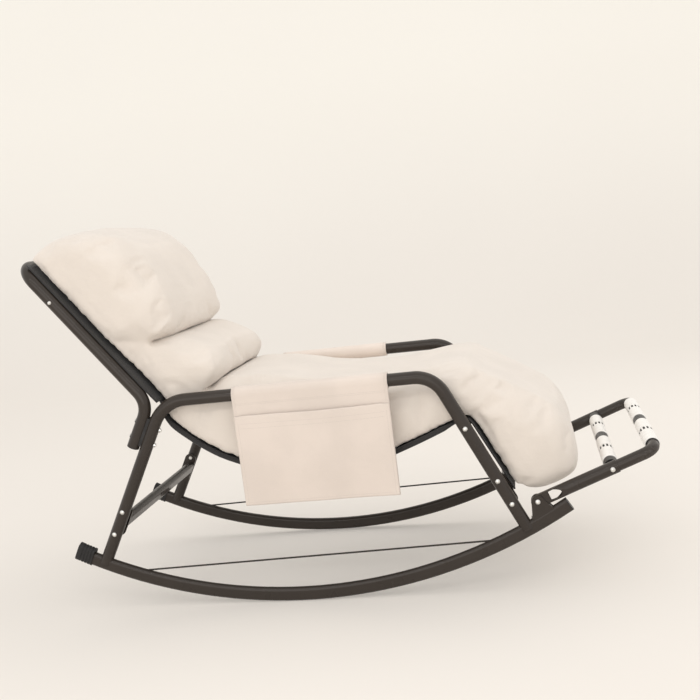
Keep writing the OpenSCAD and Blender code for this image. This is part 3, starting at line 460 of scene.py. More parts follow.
def draw_in(share):
    """How far a lobe's outline shrinks at a share of the half width."""
    return 1.0 - (1.0 - min(abs(share), LAST_SHARE) ** SIDE_POWER) ** EDGE_POWER


def inward_pulls(rest, line, lobe):
    """For each free point of a lobe, the way to where it is drawn at the mat's sides."""
    along, half_long, half_thick = LOBES[lobe]
    centre = sum(line, Vector((0.0, 0.0))) / len(line)
    carrier = min(rest, key=lambda p: (p - centre).length)
    middle = centre * CENTRE_SHARE + carrier * (1 - CENTRE_SHARE)
    for p in line:
        a = (p - middle).dot(along)
        yield tuple((middle - p) + along * (a - a * half_thick / half_long))


def mat_rings(rest, lobes, shrink):
    """Outlines of the mat across its width. Free points are drawn in towards the sides, less so near what
    they rest on, and the whole is smaller by shrink, so that it can swell to its full size."""
    points = [tuple(p) for p in rest]
    pull = [(0.0, 0.0)] * len(rest)
    for name, line in lobes.items():
        points += [tuple(p) for p in line]
        pull += inward_pulls(rest, line, name)
    both = evened(evenly(np.hstack([points, pull]), RING_POINTS), 3)
    outline, pull = both[:, :2], evened(both[:, 2:], 120)
    near, _ = near_line(np.insert(outline * MM, 1, 0.0, axis=1), rest)
    pull = pull * np.minimum(1.0, near / (MAT_T * MM * 0.3))[:, None]
    along = np.roll(outline, -1, axis=0) - np.roll(outline, 1, axis=0)
    along /= np.linalg.norm(along, axis=1, keepdims=True)
    outline = outline + np.stack([-along[:, 1], along[:, 0]], axis=1) * shrink
    rings = []
    for share in np.sin(np.linspace(-math.pi / 2, math.pi / 2, RINGS)):
        flat = outline + pull * draw_in(share)
        y = np.full(len(flat), share * (MAT_W / 2 - shrink))
        rings.append(np.stack([flat[:, 0], y, flat[:, 1]], axis=1))
    return rings


def ring_mesh(rings):
    """A closed form over rings of points."""
    n = len(rings[0])
    faces = quads(len(rings), n, True)
    faces.append(tuple(range(n - 1, -1, -1)))
    faces.append(tuple((len(rings) - 1) * n + i for i in range(n)))
    return np.vstack(rings), faces


def near_line(co, line):
    """Distance and run, in metres, from each point to the nearest place of an XZ line in millimetres."""
    line = np.array(line, float) * MM
    a, v = line[:-1], np.diff(line, axis=0)
    length = np.linalg.norm(v, axis=1)
    run = run_along(line)
    p = co[:, (0, 2)]
    best = np.full(len(p), 1e9)
    at = np.zeros(len(p))
    for k in range(len(a)):
        t = np.clip(((p - a[k]) @ v[k]) / max(length[k] ** 2, 1e-12), 0, 1)
        d = np.linalg.norm(p - (a[k] + np.outer(t, v[k])), axis=1)
        closer = d < best
        best[closer] = d[closer]
        at[closer] = run[k] + t[closer] * length[k]
    return best, at


def swell(piece, rest_line, pressure, cap):
    """Lets the pad swell as cloth, held where it rests on something."""
    start = get_points(piece)
    away, _ = near_line(start, rest_line)
    held = piece.vertex_groups.new(name="held")
    held.add([int(i) for i in np.nonzero(away < HELD_WITHIN)[0]], 1.0, "REPLACE")
    cloth = piece.modifiers.new("Swell", "CLOTH")
    s = cloth.settings
    s.vertex_group_mass = "held"
    s.quality = 4
    s.mass = 0.25
    s.tension_stiffness = s.compression_stiffness = 18
    s.shear_stiffness = 6
    s.bending_stiffness = 0.4
    s.use_pressure = True
    s.uniform_pressure_force = pressure
    s.shrink_min = -0.025
    s.effector_weights.gravity = 0.0
    cloth.collision_settings.use_collision = False
    scene = bpy.context.scene
    cloth.point_cache.frame_start = scene.frame_start = 1
    cloth.point_cache.frame_end = scene.frame_end = SWELL_FRAMES
    for f in range(1, SWELL_FRAMES + 1):
        scene.frame_set(f)
    apply_modifiers(piece)
    scene.frame_set(1)
    moved = get_points(piece) - start
    far = np.linalg.norm(moved, axis=1, keepdims=True)
    set_points(piece, start + moved * np.minimum(1.0, cap / np.maximum(far, 1e-9)))
    piece.vertex_groups.clear()


def keep_within(piece, nodes, rest_line, proud):
    """Keeps the pad at its solids where it rests, and no more than proud beyond them close to there."""
    corners, faces = [], []
    for node in nodes:
        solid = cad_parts[node].data
        faces += [tuple(i + len(corners) for i in p.vertices) for p in solid.polygons]
        corners += [v.co[:] for v in solid.vertices]
    tree = BVHTree.FromPolygons(corners, faces)
    co = get_points(piece)
    away, _ = near_line(co, rest_line)
    limits = np.clip((away - PROUD_FROM) / PROUD_OVER, 0.0, 1.0) * proud
    limits += np.maximum(away - FREE_FROM, 0.0)
    for i, p in enumerate(co):
        spot, normal, _, _ = tree.find_nearest(Vector(p))
        out = (Vector(p) - spot).dot(normal)
        if out > limits[i]:
            co[i] = p - np.array(normal) * (out - limits[i])
    set_points(piece, co)


def widen(piece):
    """Fills the pad out sideways: over the edge of the sling, and at its head over the tubes of the back."""
    co = get_points(piece)
    up = (co[:, (0, 2)] / MM - np.array(BACK_CORNER)) @ np.array(BACK_UP) / BACK_LEN
    t = np.clip((up - HEAD_WIDENS_FROM) / (HEAD_WIDE_AT - HEAD_WIDENS_FROM), 0.0, 1.0)
    extra = SIDE_EXTRA + HEAD_EXTRA * t * t * (3 - 2 * t)
    co[:, 1] *= 1 + extra / (MAT_W / 2)
    set_points(piece, co)


def soften(piece, rounds, share):
    """Evens the surface a little, as filling behind cloth does."""
    mesh = piece.data
    edges = np.empty(len(mesh.edges) * 2, np.int32)
    mesh.edges.foreach_get("vertices", edges)
    edges = edges.reshape(-1, 2)
    co = get_points(piece)
    count = np.bincount(edges.ravel(), minlength=len(co))[:, None]
    for _ in range(rounds):
        total = np.zeros_like(co)
        np.add.at(total, edges[:, 0], co[edges[:, 1]])
        np.add.at(total, edges[:, 1], co[edges[:, 0]])
        co += (total / np.maximum(count, 1) - co) * share
    set_points(piece, co)


def pleat(piece, rest_line):
    """Gathers where the sides of the pad are sewn to its back."""
    co = get_points(piece)
    normals = get_points(piece, "normal")
    away, run = near_line(co, rest_line)
    edge = np.maximum(0.0, MAT_W / 2 * MM - 0.012 - np.abs(co[:, 1]))
    distance = np.hypot(away, edge)
    move = np.zeros(len(co))
    for i in np.nonzero(distance < 3 * PLEAT_REACH)[0]:
        side = 1.0 if co[i, 1] > 0 else -1.0
        wave = wavy(run[i] * 62.0, side * 2.0, PLEAT_SEED, 1.0)
        wave += 0.6 * wavy(run[i] * 130.0, side, PLEAT_SEED, 2.0)
        move[i] = PLEAT_DEPTH * wave * math.exp(-((distance[i] / PLEAT_REACH) ** 2))
    set_points(piece, co + normals * move[:, None])


def make_mat(settings, material):
    """The mat: one padded bag, sewn into four lobes that follow the back, the seat and the leg drop."""
    rest, lobes = mat_outline()
    rest_line = [tuple(p) for p in rest]
    points, faces = ring_mesh(mat_rings(rest, lobes, settings.room / MM))
    piece = new_piece("lounge_mat", points, faces, material)
    bm = bmesh.new()
    bm.from_mesh(piece.data)
    bmesh.ops.recalc_face_normals(bm, faces=bm.faces)
    bmesh.ops.triangulate(bm, faces=[f for f in bm.faces if len(f.verts) > 4])
    bm.to_mesh(piece.data)
    bm.free()
    remesh = piece.modifiers.new("Even", "REMESH")
    remesh.mode = "VOXEL"
    remesh.voxel_size = settings.voxel
    apply_modifiers(piece)
    swell(piece, rest_line, settings.pressure, settings.cap)
    keep_within(piece, MAT_NODES, rest_line, settings.proud)
    soften(piece, 2, 0.5)
    rounder = piece.modifiers.new("Round", "SUBSURF")
    rounder.levels = rounder.render_levels = 1
    apply_modifiers(piece)
    pleat(piece, rest_line)
    widen(piece)
    shade_smooth(piece.data)
    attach(piece, "frame")
    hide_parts(*MAT_NODES)


# Sling and covers


def across_sling(half, hem, tall, wide):
    """Cross-section of a strip of cloth with a rolled hem on each side: (y, height) pairs."""
    right = [(half - wide, 0.0)]
    for a in np.linspace(-0.5 * math.pi, 1.5 * math.pi, 13):
        right.append((half - wide / 2 + wide / 2 * math.cos(a), tall / 2 * math.sin(a) * hem))
    left = [(-y, -height) for y, height in reversed(right)]
    inner = [(y, 0.0) for y in np.linspace(-half + wide * 1.1, half - wide * 1.1, 45)]
    return left + inner + right


def make_sheet(name, mesh, material, node, slot, seams, yarn, **laid):
    """A piece of cloth with its stitches, hung on the frame's body; the solid it stands for is hidden. How
    it is laid is not used.
    """
    piece = new_piece(name, *mesh, material)
    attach(piece, "frame")
    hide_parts(node)
    thread = new_piece(name.removesuffix("_cloth") + "_thread", *joined(seams), yarn)
    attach(thread, "frame")


def sling_cloth(weave, yarn):
    """The seat sling, from the foot of the back over the front bar and down to the crossbar."""
    line = sling_line()
    curve = []
    for a, b in zip(line[:-1], line[1:]):
        n = max(1, round((b - a).length / 9.0))
        curve += [a + (b - a) * (k / n) for k in range(n)]
    curve.append(line[-1])
    run = np.concatenate([[0.0], np.cumsum([(b - a).length for a, b in zip(curve[:-1], curve[1:])])])
    hem_from, hem_to = (length_of(line[: i + 1]) for i in (SAG_FROM, SAG_TO))
    rows = []
    for i, p in enumerate(curve):
        t = heading(curve, i)
        inside = min(run[i] - hem_from, hem_to - run[i]) / 30.0
        hem = 0.22 + 0.78 * min(max(inside, 0.0), 1.0)
        section = across_sling(SLING_W / 2 - 0.9, hem, 12.0, 8.0)
        rows.append([(p.x - t.y * h, y, p.y + t.x * h) for y, h in section])
    sagging = [i for i in range(len(curve)) if hem_from < run[i] < hem_to]
    headings = [heading(curve, i) for i in sagging]
    seams = []
    for side in (-1, 1):
        for inset in (11.5, 15.0):
            y = side * (SLING_W / 2 - inset)
            seam = [(curve[i].x + t.y, y, curve[i].y - t.x) for i, t in zip(sagging, headings)]
            seams.append(stitches(seam, [(t.y, 0.0, -t.x) for t in headings], SLING_STITCH))
    make_sheet(
        "seat_sling", cloth_mesh(rows, 1.7), weave, "sling", "sling", seams, yarn,
        flat=(0.548, float(run[-1]) * MM), held="stretched", rests_on=["seat_front_bar", "front_crossbar"],
    )


def back_cloth(weave, yarn):
    """The back panel, stretched over the two uprights and the bow."""
    low, high = -PANEL_BELOW, BACK_LEN - TUBE_R * 0.4
    half = (TRACK + TUBE_R / 2) / 2

    def on_panel(along, y, rise):
        p = BACK_CORNER + BACK_UP * float(along) + BACK_OUT * (PANEL_OUT + rise)
        return (p.x, y, p.y)

    rows = []
    for s in np.linspace(low + 1.0, high - 1.0, 60):
        row = []
        edge = min(s - low, high - s)
        for y, h in across_sling(half - 0.9, 0.3 + 0.7 * min(edge / 20.0, 1.0), 4.0, 9.0):
            sag = 1.2 * (1 - (abs(y) / half) ** 2) * min(1.0, edge / 60.0)
            row.append(on_panel(s, y, h - sag))
        rows.append(row)
    seams = []
    for face in (-1, 1):
        ups = [(BACK_OUT.x * face, 0.0, BACK_OUT.y * face)] * 80
        for y in (12.0 - half, 16.0 - half, half - 12.0, half - 16.0):
            seam = [on_panel(s, y, face * 0.9) for s in np.linspace(low + 6, high - 6, 80)]
            seams.append(stitches(seam, ups, SLING_STITCH))
        for s in (low + 9.0, low + 13.0, high - 9.0, high - 13.0):
            seam = [on_panel(s, y, face * 0.85) for y in np.linspace(-half + 14, half - 14, 80)]
            seams.append(stitches(seam, ups, SLING_STITCH))
    make_sheet(
        "back_panel", cloth_mesh(rows, 1.6), weave, "sling", "sling", seams, yarn,
        flat=(0.60, (high - low) * MM), held="stretched",
        rests_on=["left_back_upright", "right_back_upright", "back_bow"],
    )


def arm_point(along, up, out, side):
    """A point beside the arm: along it, above its axis, and outwards from it."""
    p = REAR_CORNER + ARM_DIR * along + ARM_UP * up
    return (p.x, side * (TRACK / 2 + out), p.y)


def round_arm(along, degrees, radius, side):
    """A point on a sleeve about the arm, at an angle that starts outwards and goes up."""
    a = math.radians(degrees)
    return arm_point(along, radius * math.sin(a), radius * math.cos(a), side)


def round_arm_up(degrees, side):
    a = math.radians(degrees)
    n = ARM_UP * math.sin(a)
    return (n.x, side * math.cos(a), n.y)


def sleeve_r(u, length, degrees, pinch, lump, spread, seed):
    """Radius of a sleeve at a share of its length: gathered a little at its ends and not quite round."""
    a = math.radians(degrees)
    end = min(u, 1 - u) * length
    ease = lump * wavy(u * spread, math.cos(a), math.sin(a), seed)
    return SLEEVE_R - pinch * math.exp(-((end / 7.0) ** 2)) + ease


def flap_wave(u, v):
    """How far the hanging flap stands in or out, at shares along it and down it."""
    wave = 1.5 * wavy(u * 2.6, v * 1.3, 0.0, 3.0) + 0.8 * wavy(u * 6.0, v * 1.7, 4.0, 3.0)
    return v * v * (wave * 1.3 - 1.6)


def flap_bottom(u):
    """How far down the flap's lower edge hangs."""
    return FLAP_DROP - 1.6 - 1.4 * wavy(u * 3.1, 0.0, 2.0, 5.0)


def flap_along(u):
    return COVER_FROM + 1.2 + u * (COVER_LEN - 2.4)


def cover_cloth(cloth, yarn):
    """The armrest cover on the near side: a padded sleeve that runs down into a flap."""
    rows = []
    for u in np.linspace(0, 1, 110):
        x = flap_along(u)
        pinch = 0.27 * math.exp(-((min(u, 1 - u) * COVER_LEN / 7.0) ** 2))
        row = []
        for v in np.linspace(1, 0, 58):
            out = FLAP_OUT + min(0.0, flap_wave(u, v))
            row.append(arm_point(x, -v * flap_bottom(u), out - pinch, -1))
        for k in range(1, 40):
            row.append(round_arm(x, k * 8.6, sleeve_r(u, COVER_LEN, k * 8.6, 0.9, 0.45, 9.0, 7.0), -1))
        rows.append(row)
    seams = []
    for end in (6.0, COVER_LEN - 6.0, 9.0, COVER_LEN - 9.0):
        x = COVER_FROM + end
        line = [arm_point(x, -v * FLAP_DROP, THREAD_R + 0.3, -1) for v in np.linspace(0.17, 0, 12)]
        line += [round_arm(x, k * 9.5, THREAD_R, -1) for k in range(1, 20)]
        ups = [(0, -1, 0)] * 12 + [round_arm_up(k * 9.5, -1) for k in range(1, 20)]
        seams.append(stitches(line, ups, COVER_STITCH))
    for drop in (21.0, 24.5):
        along = COVER_FROM + np.linspace(0.02, 0.98, 60) * COVER_LEN
        line = [arm_point(x, -drop, THREAD_R + 0.4, -1) for x in along]
        seams.append(stitches(line, [(0, -1, 0)] * 60, COVER_STITCH))
    make_sheet(
        "armrest_cover_cloth", cloth_mesh(rows, COVER_T), cloth, "armrest_cover", "cover", seams, yarn,
        flat=(COVER_LEN * MM, 0.392), held="draped", rests_on=["right_side_frame"],
    )


def pocket_cloth(cloth, yarn):
    """The pocket on the cover's flap: sewn down on three sides, its mouth open at the top."""
    rows = []
    for u in np.linspace(0, 1, 90):
        x = flap_along(u)
        side_rise = 1 - math.exp(-((min(u, 1 - u) * COVER_LEN / 42.0) ** 1.5))
        bottom = flap_bottom(u)
        mouth = MOUTH_DROP + 2.2 * math.sin(math.pi * u) + 1.6 * wavy(u * 4.0, 1.0, 0.0, 11.0)
        row = []
        for v in np.linspace(0, 1, 60):
            drop = bottom - (bottom - mouth) * v
            full = side_rise * (1 - math.exp(-(((bottom - drop) / 46.0) ** 1.4)))
            fold = 0.5 + 0.5 * wavy(u * 5.0, v * 1.6, 0.0, 13.0)
            out = POCKET_OUT + full * (3.2 + 10.8 * (1 - v) * v + 1.6 * fold + 2.2 * v)
            row.append(arm_point(x, -drop, out, -1))
        # The mouth's edge is turned in and hangs down behind, but lies flat where it meets the side seams
        for turn_out, turn_up in ((-0.7, 0.9), (-1.6, 0.6), (-2.1, -0.6), (-2.2, -4.0), (-2.2, -10.0)):
            if full > 0.2:
                row.append(arm_point(x, turn_up - mouth, out + turn_out * min(1.0, full), -1))
            else:
                row.append(arm_point(x, turn_up * 0.1 - mouth - 0.4, out + turn_out * 0.08, -1))
        rows.append(row)
    lines = [(0.8, [r[k] for r in rows[3:-3]]) for k in (54, 51)]
    lines += [(0.85, rows[2][1:56]), (0.85, rows[87][1:56]), (0.85, [r[2] for r in rows[2:-2]])]
    seams = []
    for lift, line in lines:
        on_top = [(x, y - lift, z) for x, y, z in line]
        seams.append(stitches(on_top, [(0, -1, 0)] * len(line), COVER_STITCH))
    make_sheet(
        "side_pocket_cloth", cloth_mesh(rows, POCKET_T), cloth, "side_pocket", "cover", seams, yarn,
        flat=(0.405, 0.247), held="hung", rests_on=["armrest_cover_cloth"],
    )


def plain_cloth(cloth, yarn):
    """The plain sleeve on the far arm."""
    rows = []
    for u in np.linspace(0, 1, 90):
        x = COVER_FROM + 1.0 + u * (PLAIN_LEN - 2.0)
        row = []
        for a in np.linspace(-88, 262.7, 43):
            row.append(round_arm(x, a, sleeve_r(u, PLAIN_LEN, a, 1.0, 0.5, 7.0, 17.0), 1))
        rows.append(row)
    points, faces = cloth_mesh(rows, COVER_T)
    turns = [-80 + k * 8.6 for k in range(40)]
    seams = []
    for end in (6.0, PLAIN_LEN - 6.0, 9.0, PLAIN_LEN - 9.0):
        line = [round_arm(COVER_FROM + end, a, THREAD_R, 1) for a in turns]
        seams.append(stitches(line, [round_arm_up(a, 1) for a in turns], COVER_STITCH))
    make_sheet(
        "plain_cover_cloth", (points, [f[::-1] for f in faces]), cloth, "plain_armrest_cover", "cover",
        seams, yarn, flat=(PLAIN_LEN * MM, 0.115), held="draped", rests_on=["left_side_frame"],
    )


# Materials


class Strand:
    """A socket in a material's node tree. Python's operators on it add the nodes."""

    def __init__(self, tree, socket=None):
        self.tree = tree
        self.socket = socket

    def node(self, kind, settings=None, feeds=None, take=0):
        """Adds any node: its type, its settings, and the values or links of its sockets."""
        made = self.tree.nodes.new(kind)
        for key, value in (settings or {}).items():
            setattr(made, key, value)
        for key, value in (feeds or {}).items():
            if isinstance(value, Strand):
                self.tree.links.new(value.socket, made.inputs[key])
            else:
                made.inputs[key].default_value = value
        return Strand(self.tree, made.outputs[take])

    def maths(self, operation, *parts):
        """Numbers go through Math, vectors through Vector Math."""
        wide = any(isinstance(p, Strand) and p.socket.type == "VECTOR" for p in parts)
        kind = "ShaderNodeVectorMath" if wide else "ShaderNodeMath"
        feeds = {}
        for i, p in enumerate(parts):
            feeds[i] = (p, p, p) if wide and isinstance(p, (int, float)) else p
        return self.node(kind, {"operation": operation}, feeds)

    def __add__(self, other):
        return self.maths("ADD", self, other)

    def __radd__(self, other):
        return self.maths("ADD", other, self)

    def __sub__(self, other):
        return self.maths("SUBTRACT", self, other)

    def __rsub__(self, other):
        return self.maths("SUBTRACT", other, self)

    def __mul__(self, other):
        return self.maths("MULTIPLY", self, other)

    def __rmul__(self, other):
        return self.maths("MULTIPLY", other, self)

    def __truediv__(self, other):
        return self.maths("DIVIDE", self, other)

    def __rtruediv__(self, other):
        return self.maths("DIVIDE", other, self)

    def __pow__(self, other):
        return self.maths("POWER", self, other)

    def __abs__(self):
        return self.maths("ABSOLUTE", self)

    def sine(self):
        return self.maths("SINE", self)

    def parts(self):
        """The three numbers of a vector."""
        split = self.node("ShaderNodeSeparateXYZ", feeds={0: self})
        return [Strand(self.tree, split.socket.node.outputs[k]) for k in range(3)]

    def mapped(self, scale=(1.0, 1.0, 1.0), tilt=0.0):
        """A vector stretched, and turned about the chair's width."""
        feeds = {"Vector": self, "Scale": scale, "Rotation": (0.0, tilt, 0.0)}
        return self.node("ShaderNodeMapping", {"vector_type": "POINT"}, feeds)

    def stepped(self, low, high):
        """0 below low, 1 above high."""
        feeds = {"Value": self, "From Min": low, "From Max": high, "To Min": 0.0, "To Max": 1.0}
        return self.node("ShaderNodeMapRange", {"interpolation_type": "SMOOTHSTEP"}, feeds)

    def tint(self, first, second):
        """first where this is 0 and second where it is 1."""
        a, b = (c if isinstance(c, Strand) else (*c, 1.0) for c in (first, second))
        settings = {"data_type": "RGBA", "clamp_factor": True}
        return self.node("ShaderNodeMix", settings, {0: self, 6: a, 7: b}, take=2)

    def cloudy(self, scale, detail=3.0, rough=0.5):
        """Noise from 0 to 1 at these coordinates."""
        feeds = {"Vector": self, "Scale": scale, "Detail": detail, "Roughness": rough}
        return self.node("ShaderNodeTexNoise", {}, feeds)

    def bump(self):
        """The normal of a surface raised by this height, in metres."""
        return self.node("ShaderNodeBump", {}, {"Height": self, "Distance": 1.0, "Strength": 1.0})


def coordinates(made, tilt=0.0):
    """Places in metres, turned about the chair's width so that a weave runs with the piece."""
    place = Strand(made.node_tree).node("ShaderNodeTexCoord", take=3)
    return place.mapped(tilt=tilt) if tilt else place


def facing(made, tilt=0.0):
    """The surface's normal, turned like the coordinates."""
    normal = Strand(made.node_tree).node("ShaderNodeNewGeometry", take=1)
    return normal.mapped(tilt=tilt) if tilt else normal


def plain_weave(place, normal, pitch):
    """Height of a plain weave of the given pitch, on whichever side a surface faces."""
    sx, sy, sz = (place * (math.pi / pitch)).sine().parts()
    wx, wy, wz = (abs(c) ** 6.0 for c in normal.parts())
    total = wx + wy + wz
    return ((sy * sz) * wx + (sx * sz) * wy + (sx * sy) * wz) / total


def toned(colour, share, lift=0.0):
    """A darker or lighter colour."""
    return tuple(min(1.0, c * share + lift) for c in colour)


def new_material(name, **constants):
    """A new material with one Principled shader, and the values that are the same all over it."""
    made = bpy.data.materials.new(name)
    made.use_nodes = True
    tree = made.node_tree
    tree.nodes.clear()
    shader = tree.nodes.new("ShaderNodeBsdfPrincipled")
    output = tree.nodes.new("ShaderNodeOutputMaterial")
    tree.links.new(shader.outputs[0], output.inputs[0])
    for key, value in constants.items():
        shader.inputs[key.replace("_", " ")].default_value = value
    return made


def plug(made, **feeds):
    """The same material, with strands plugged into its shader."""
    shader = made.node_tree.nodes["Principled BSDF"]
    for key, value in feeds.items():
        made.node_tree.links.new(value.socket, shader.inputs[key.replace("_", " ")])
    return made


def soft_cloth(name, colour, shade, pitch, tilt, weave_depth, fold_depth):
    """Matt woven cloth with soft creases and a faint unevenness of tone."""
    made = new_material(name, Sheen_Weight=0.35, Sheen_Roughness=0.5, Specular_IOR_Level=0.25)
    place = coordinates(made, tilt)
    weave = plain_weave(place, facing(made, tilt), pitch)
    slub = place.cloudy(900.0, 2.0)
    tone = place.cloudy(9.0).stepped(0.3, 0.7)
    fine = place.cloudy(260.0)
    mix = tone * 0.5 + fine * 0.3 + weave * 0.12 + 0.1
    stretched = place.mapped((1.0, 0.55, 1.6))
    folds = stretched.cloudy(26.0, 2.0, 0.45) + stretched.cloudy(70.0, 2.0) * 0.25
    height = weave * weave_depth + slub * (weave_depth * 0.6) + folds * fold_depth
    return plug(made, Base_Color=mix.tint(shade, colour), Roughness=0.78 + fine * 0.14, Normal=height.bump())


def sling_weave(name, colour):
    """Black coated yarn, woven coarse, with a dull shine."""
    made = new_material(name, Sheen_Weight=0.15, Specular_IOR_Level=0.4)
    tilt = math.pi / 2 - BACK_ANGLE
    place = coordinates(made, tilt)
    weave = plain_weave(place, facing(made, tilt), 0.0016)
    lint = place.cloudy(500.0, 4.0)
    return plug(
        made,
        Base_Color=(weave * 0.35 + lint * 0.4 + 0.1).tint(colour, toned(colour, 2.2, 0.012)),
        Roughness=0.62 + lint * 0.2 - weave * 0.08,
        Normal=(weave * 0.00022 + lint * 0.00005).bump(),
    )


def lacquer(name, colour, roughness):
    """Baked dark lacquer on steel tube, scuffed where the runner meets the floor."""
    made = new_material(name, Coat_Roughness=0.08, Specular_IOR_Level=0.15)
    place = coordinates(made)
    x, _, z = place.parts()
    round_x, round_z = x * x, (z - ROCKER_R * MM) * (z - ROCKER_R * MM)
    radius = (round_x + round_z) ** 0.5
    tread = radius.stepped(ROCKER_R * MM - 0.0045, ROCKER_R * MM - 0.0008)
    scuff = tread * place.cloudy(180.0, 5.0, 0.7).stepped(0.42, 0.66)
    peel = place.cloudy(620.0, 2.0)
    dust = facing(made).parts()[2].stepped(0.55, 1.0) * place.cloudy(34.0, 4.0).stepped(0.35, 0.8)
    worn = place.cloudy(14.0)
    base = (worn * 0.6).tint(colour, toned(colour, 1.35, 0.006))
    return plug(
        made,
        Base_Color=(scuff * 0.6 + dust * 0.03).tint(base, toned(colour, 1.6, 0.05)),
        Roughness=roughness + worn * 0.08 + scuff * 0.35 + dust * 0.12,
        Coat_Weight=0.3 - scuff * 0.28 - dust * 0.1,
        Normal=(peel * 0.00003 + scuff * 0.00004).bump(),
    )


def moulded(name, colour, roughness, grain, depth):
    """Moulded rubber or plastic with a fine grain and slightly polished patches."""
    made = new_material(name, Specular_IOR_Level=0.4)
    place = coordinates(made)
    skin = place.cloudy(grain, 3.0, 0.6)
    patch = place.cloudy(30.0).stepped(0.35, 0.7)
    return plug(
        made,
        Base_Color=(patch * 0.5 + skin * 0.2).tint(colour, toned(colour, 1.5, 0.01)),
        Roughness=roughness - patch * 0.12 + skin * 0.1,
        Normal=(skin * depth).bump(),
    )


def bare_metal(name, colour, roughness, streak):
    """Plated steel with fine turning marks round the chair's width axis."""
    made = new_material(name, Metallic=1.0)
    place = coordinates(made)
    lines = place.mapped((60.0, streak, 60.0)).cloudy(30.0, 3.0, 0.6)
    tarnish = place.cloudy(120.0, 4.0).stepped(0.35, 0.75)
    return plug(
        made,
        Base_Color=(tarnish * 0.5).tint(colour, toned(colour, 0.72)),
        Roughness=roughness + tarnish * 0.16 + lines * 0.08,
        Normal=(lines * 0.00002).bump(),
    )


def roller_plastic(name, colour, axle):
    """White moulded plastic, with painted shade: nearly black in the bottom of the belt's slots, and a
    little darker in the grooves.
    """
    made = new_material(name, Specular_IOR_Level=0.5)
    place = coordinates(made)
    x, _, z = place.parts()
    dx, dz = x - axle.x * MM, z - axle.y * MM
    radius = (dx * dx + dz * dz) ** 0.5
    # Painted shade: nearly black where the belt's slots go deepest
    inside = 1.0 - radius.stepped(0.0157, 0.0172)
    # Painted shade: a little darker in the grooves
    groove_shade = 1.0 - radius.stepped(0.0174, 0.0183)
    grain = place.cloudy(240.0)
    worn = place.cloudy(60.0, 4.0).stepped(0.4, 0.75)
    # Real soiling in worn patches, and painted shade in the grooves
    soil_and_groove_shade = (worn * 0.35 + groove_shade * 0.4).tint(colour, toned(colour, 0.86))
    return plug(
        made,
        Base_Color=inside.tint(soil_and_groove_shade, (0.03, 0.028, 0.026)),
        Roughness=0.34 + worn * 0.16 + inside * 0.3,
        Normal=(grain * 0.00002).bump(),
    )


def thread_yarn(name, colour):
    """Twisted sewing thread."""
    made = new_material(name, Sheen_Weight=0.3)
    twist = coordinates(made).cloudy(2400.0, 2.0)
    colours = twist.tint(toned(colour, 0.8), colour)
    return plug(made, Base_Color=colours, Roughness=0.62 + twist * 0.2, Normal=(twist * 0.00006).bump())


def glowing_studio_paper(name, colour, painted_glow):
    """Pale paper that glows as painted light, lifting the shade under the chair, and which pales up the
    backdrop.
    """
    # Painted light: the paper glows in its own colour, though it is no lamp
    made = new_material(name, Specular_IOR_Level=0.2, Emission_Strength=painted_glow)
    place = coordinates(made)
    tooth = place.cloudy(160.0)
    wide = place.cloudy(0.6, 2.0) * 0.15 + place.parts()[2].stepped(0.0, 2.2) * 0.85
    pale = tuple(min(1.0, c * share) for c, share in zip(colour, (1.17, 1.2, 1.2)))
    tone = wide.tint(colour, pale)
    rough = 0.82 + tooth * 0.1
    return plug(made, Base_Color=tone, Emission_Color=tone, Roughness=rough, Normal=(tooth * 0.00002).bump())


# Settings


COLOUR = {"subtype": "COLOR", "min": 0.0, "max": 1.0}
SHARE = {"subtype": "FACTOR", "min": 0.0, "max": 1.0}
POWER = {"unit": "POWER", "min": 0.0}


def setting(name, description, default, **kind):
    """A number, or a colour's three numbers, that the sidebar shows."""
    made = FloatVectorProperty if isinstance(default, tuple) else FloatProperty
    return made(name=name, description=description, default=default, **kind)


def ranged(name, description, default, low, high, **kind):
    return setting(name, description, default, min=low, max=high, **kind)


def metres(name, description, default, low, high):
    return ranged(name, description, default, low, high, unit="LENGTH")


class FrameFinish(PropertyGroup):
    lacquer_colour: setting("Lacquer", "Colour of the lacquered tubes", (0.030, 0.0235, 0.019), **COLOUR)
    lacquer_roughness: setting("Lacquer roughness", "Roughness of the lacquered tubes", 0.24, **SHARE)
    rubber_colour: setting("Rubber", "Colour of the boots and strips", (0.014, 0.013, 0.013), **COLOUR)
    roller_colour: setting("Rollers", "Colour of the footrest's rollers", (0.86, 0.84, 0.81), **COLOUR)


class MatSettings(PropertyGroup):
    cloth_colour: setting("Mat cloth", "Colour of the mat", (0.745, 0.68, 0.615), **COLOUR)
    room: metres("Room to swell", "How much smaller the pad starts", 0.006, 0.0, 0.02)
    voxel: metres("Mesh size", "Size of the mesh that the pad swells as", 0.006, 0.003, 0.02)
    pressure: ranged("Pressure", "Pressure that fills the pad", 4.0, 0.0, 20.0)
    cap: metres("Most swelling", "How far a point of the pad may move", 0.012, 0.0, 0.05)
    proud: metres("Proud", "How far the cloth may stand beyond its solid", 0.004, 0.0, 0.01)
    fill: setting("Fill", "How full the pad is", 0.85, **SHARE)


class ClothSettings(PropertyGroup):
    sling_colour: setting("Sling", "Colour of the sling", (0.012, 0.011, 0.011), **COLOUR)
    cover_colour: setting("Cover", "Colour of the armrest covers", (0.735, 0.65, 0.585), **COLOUR)
    weave_pitch: metres("Weave", "Pitch of the cover's weave", 0.0011, 0.0004, 0.004)


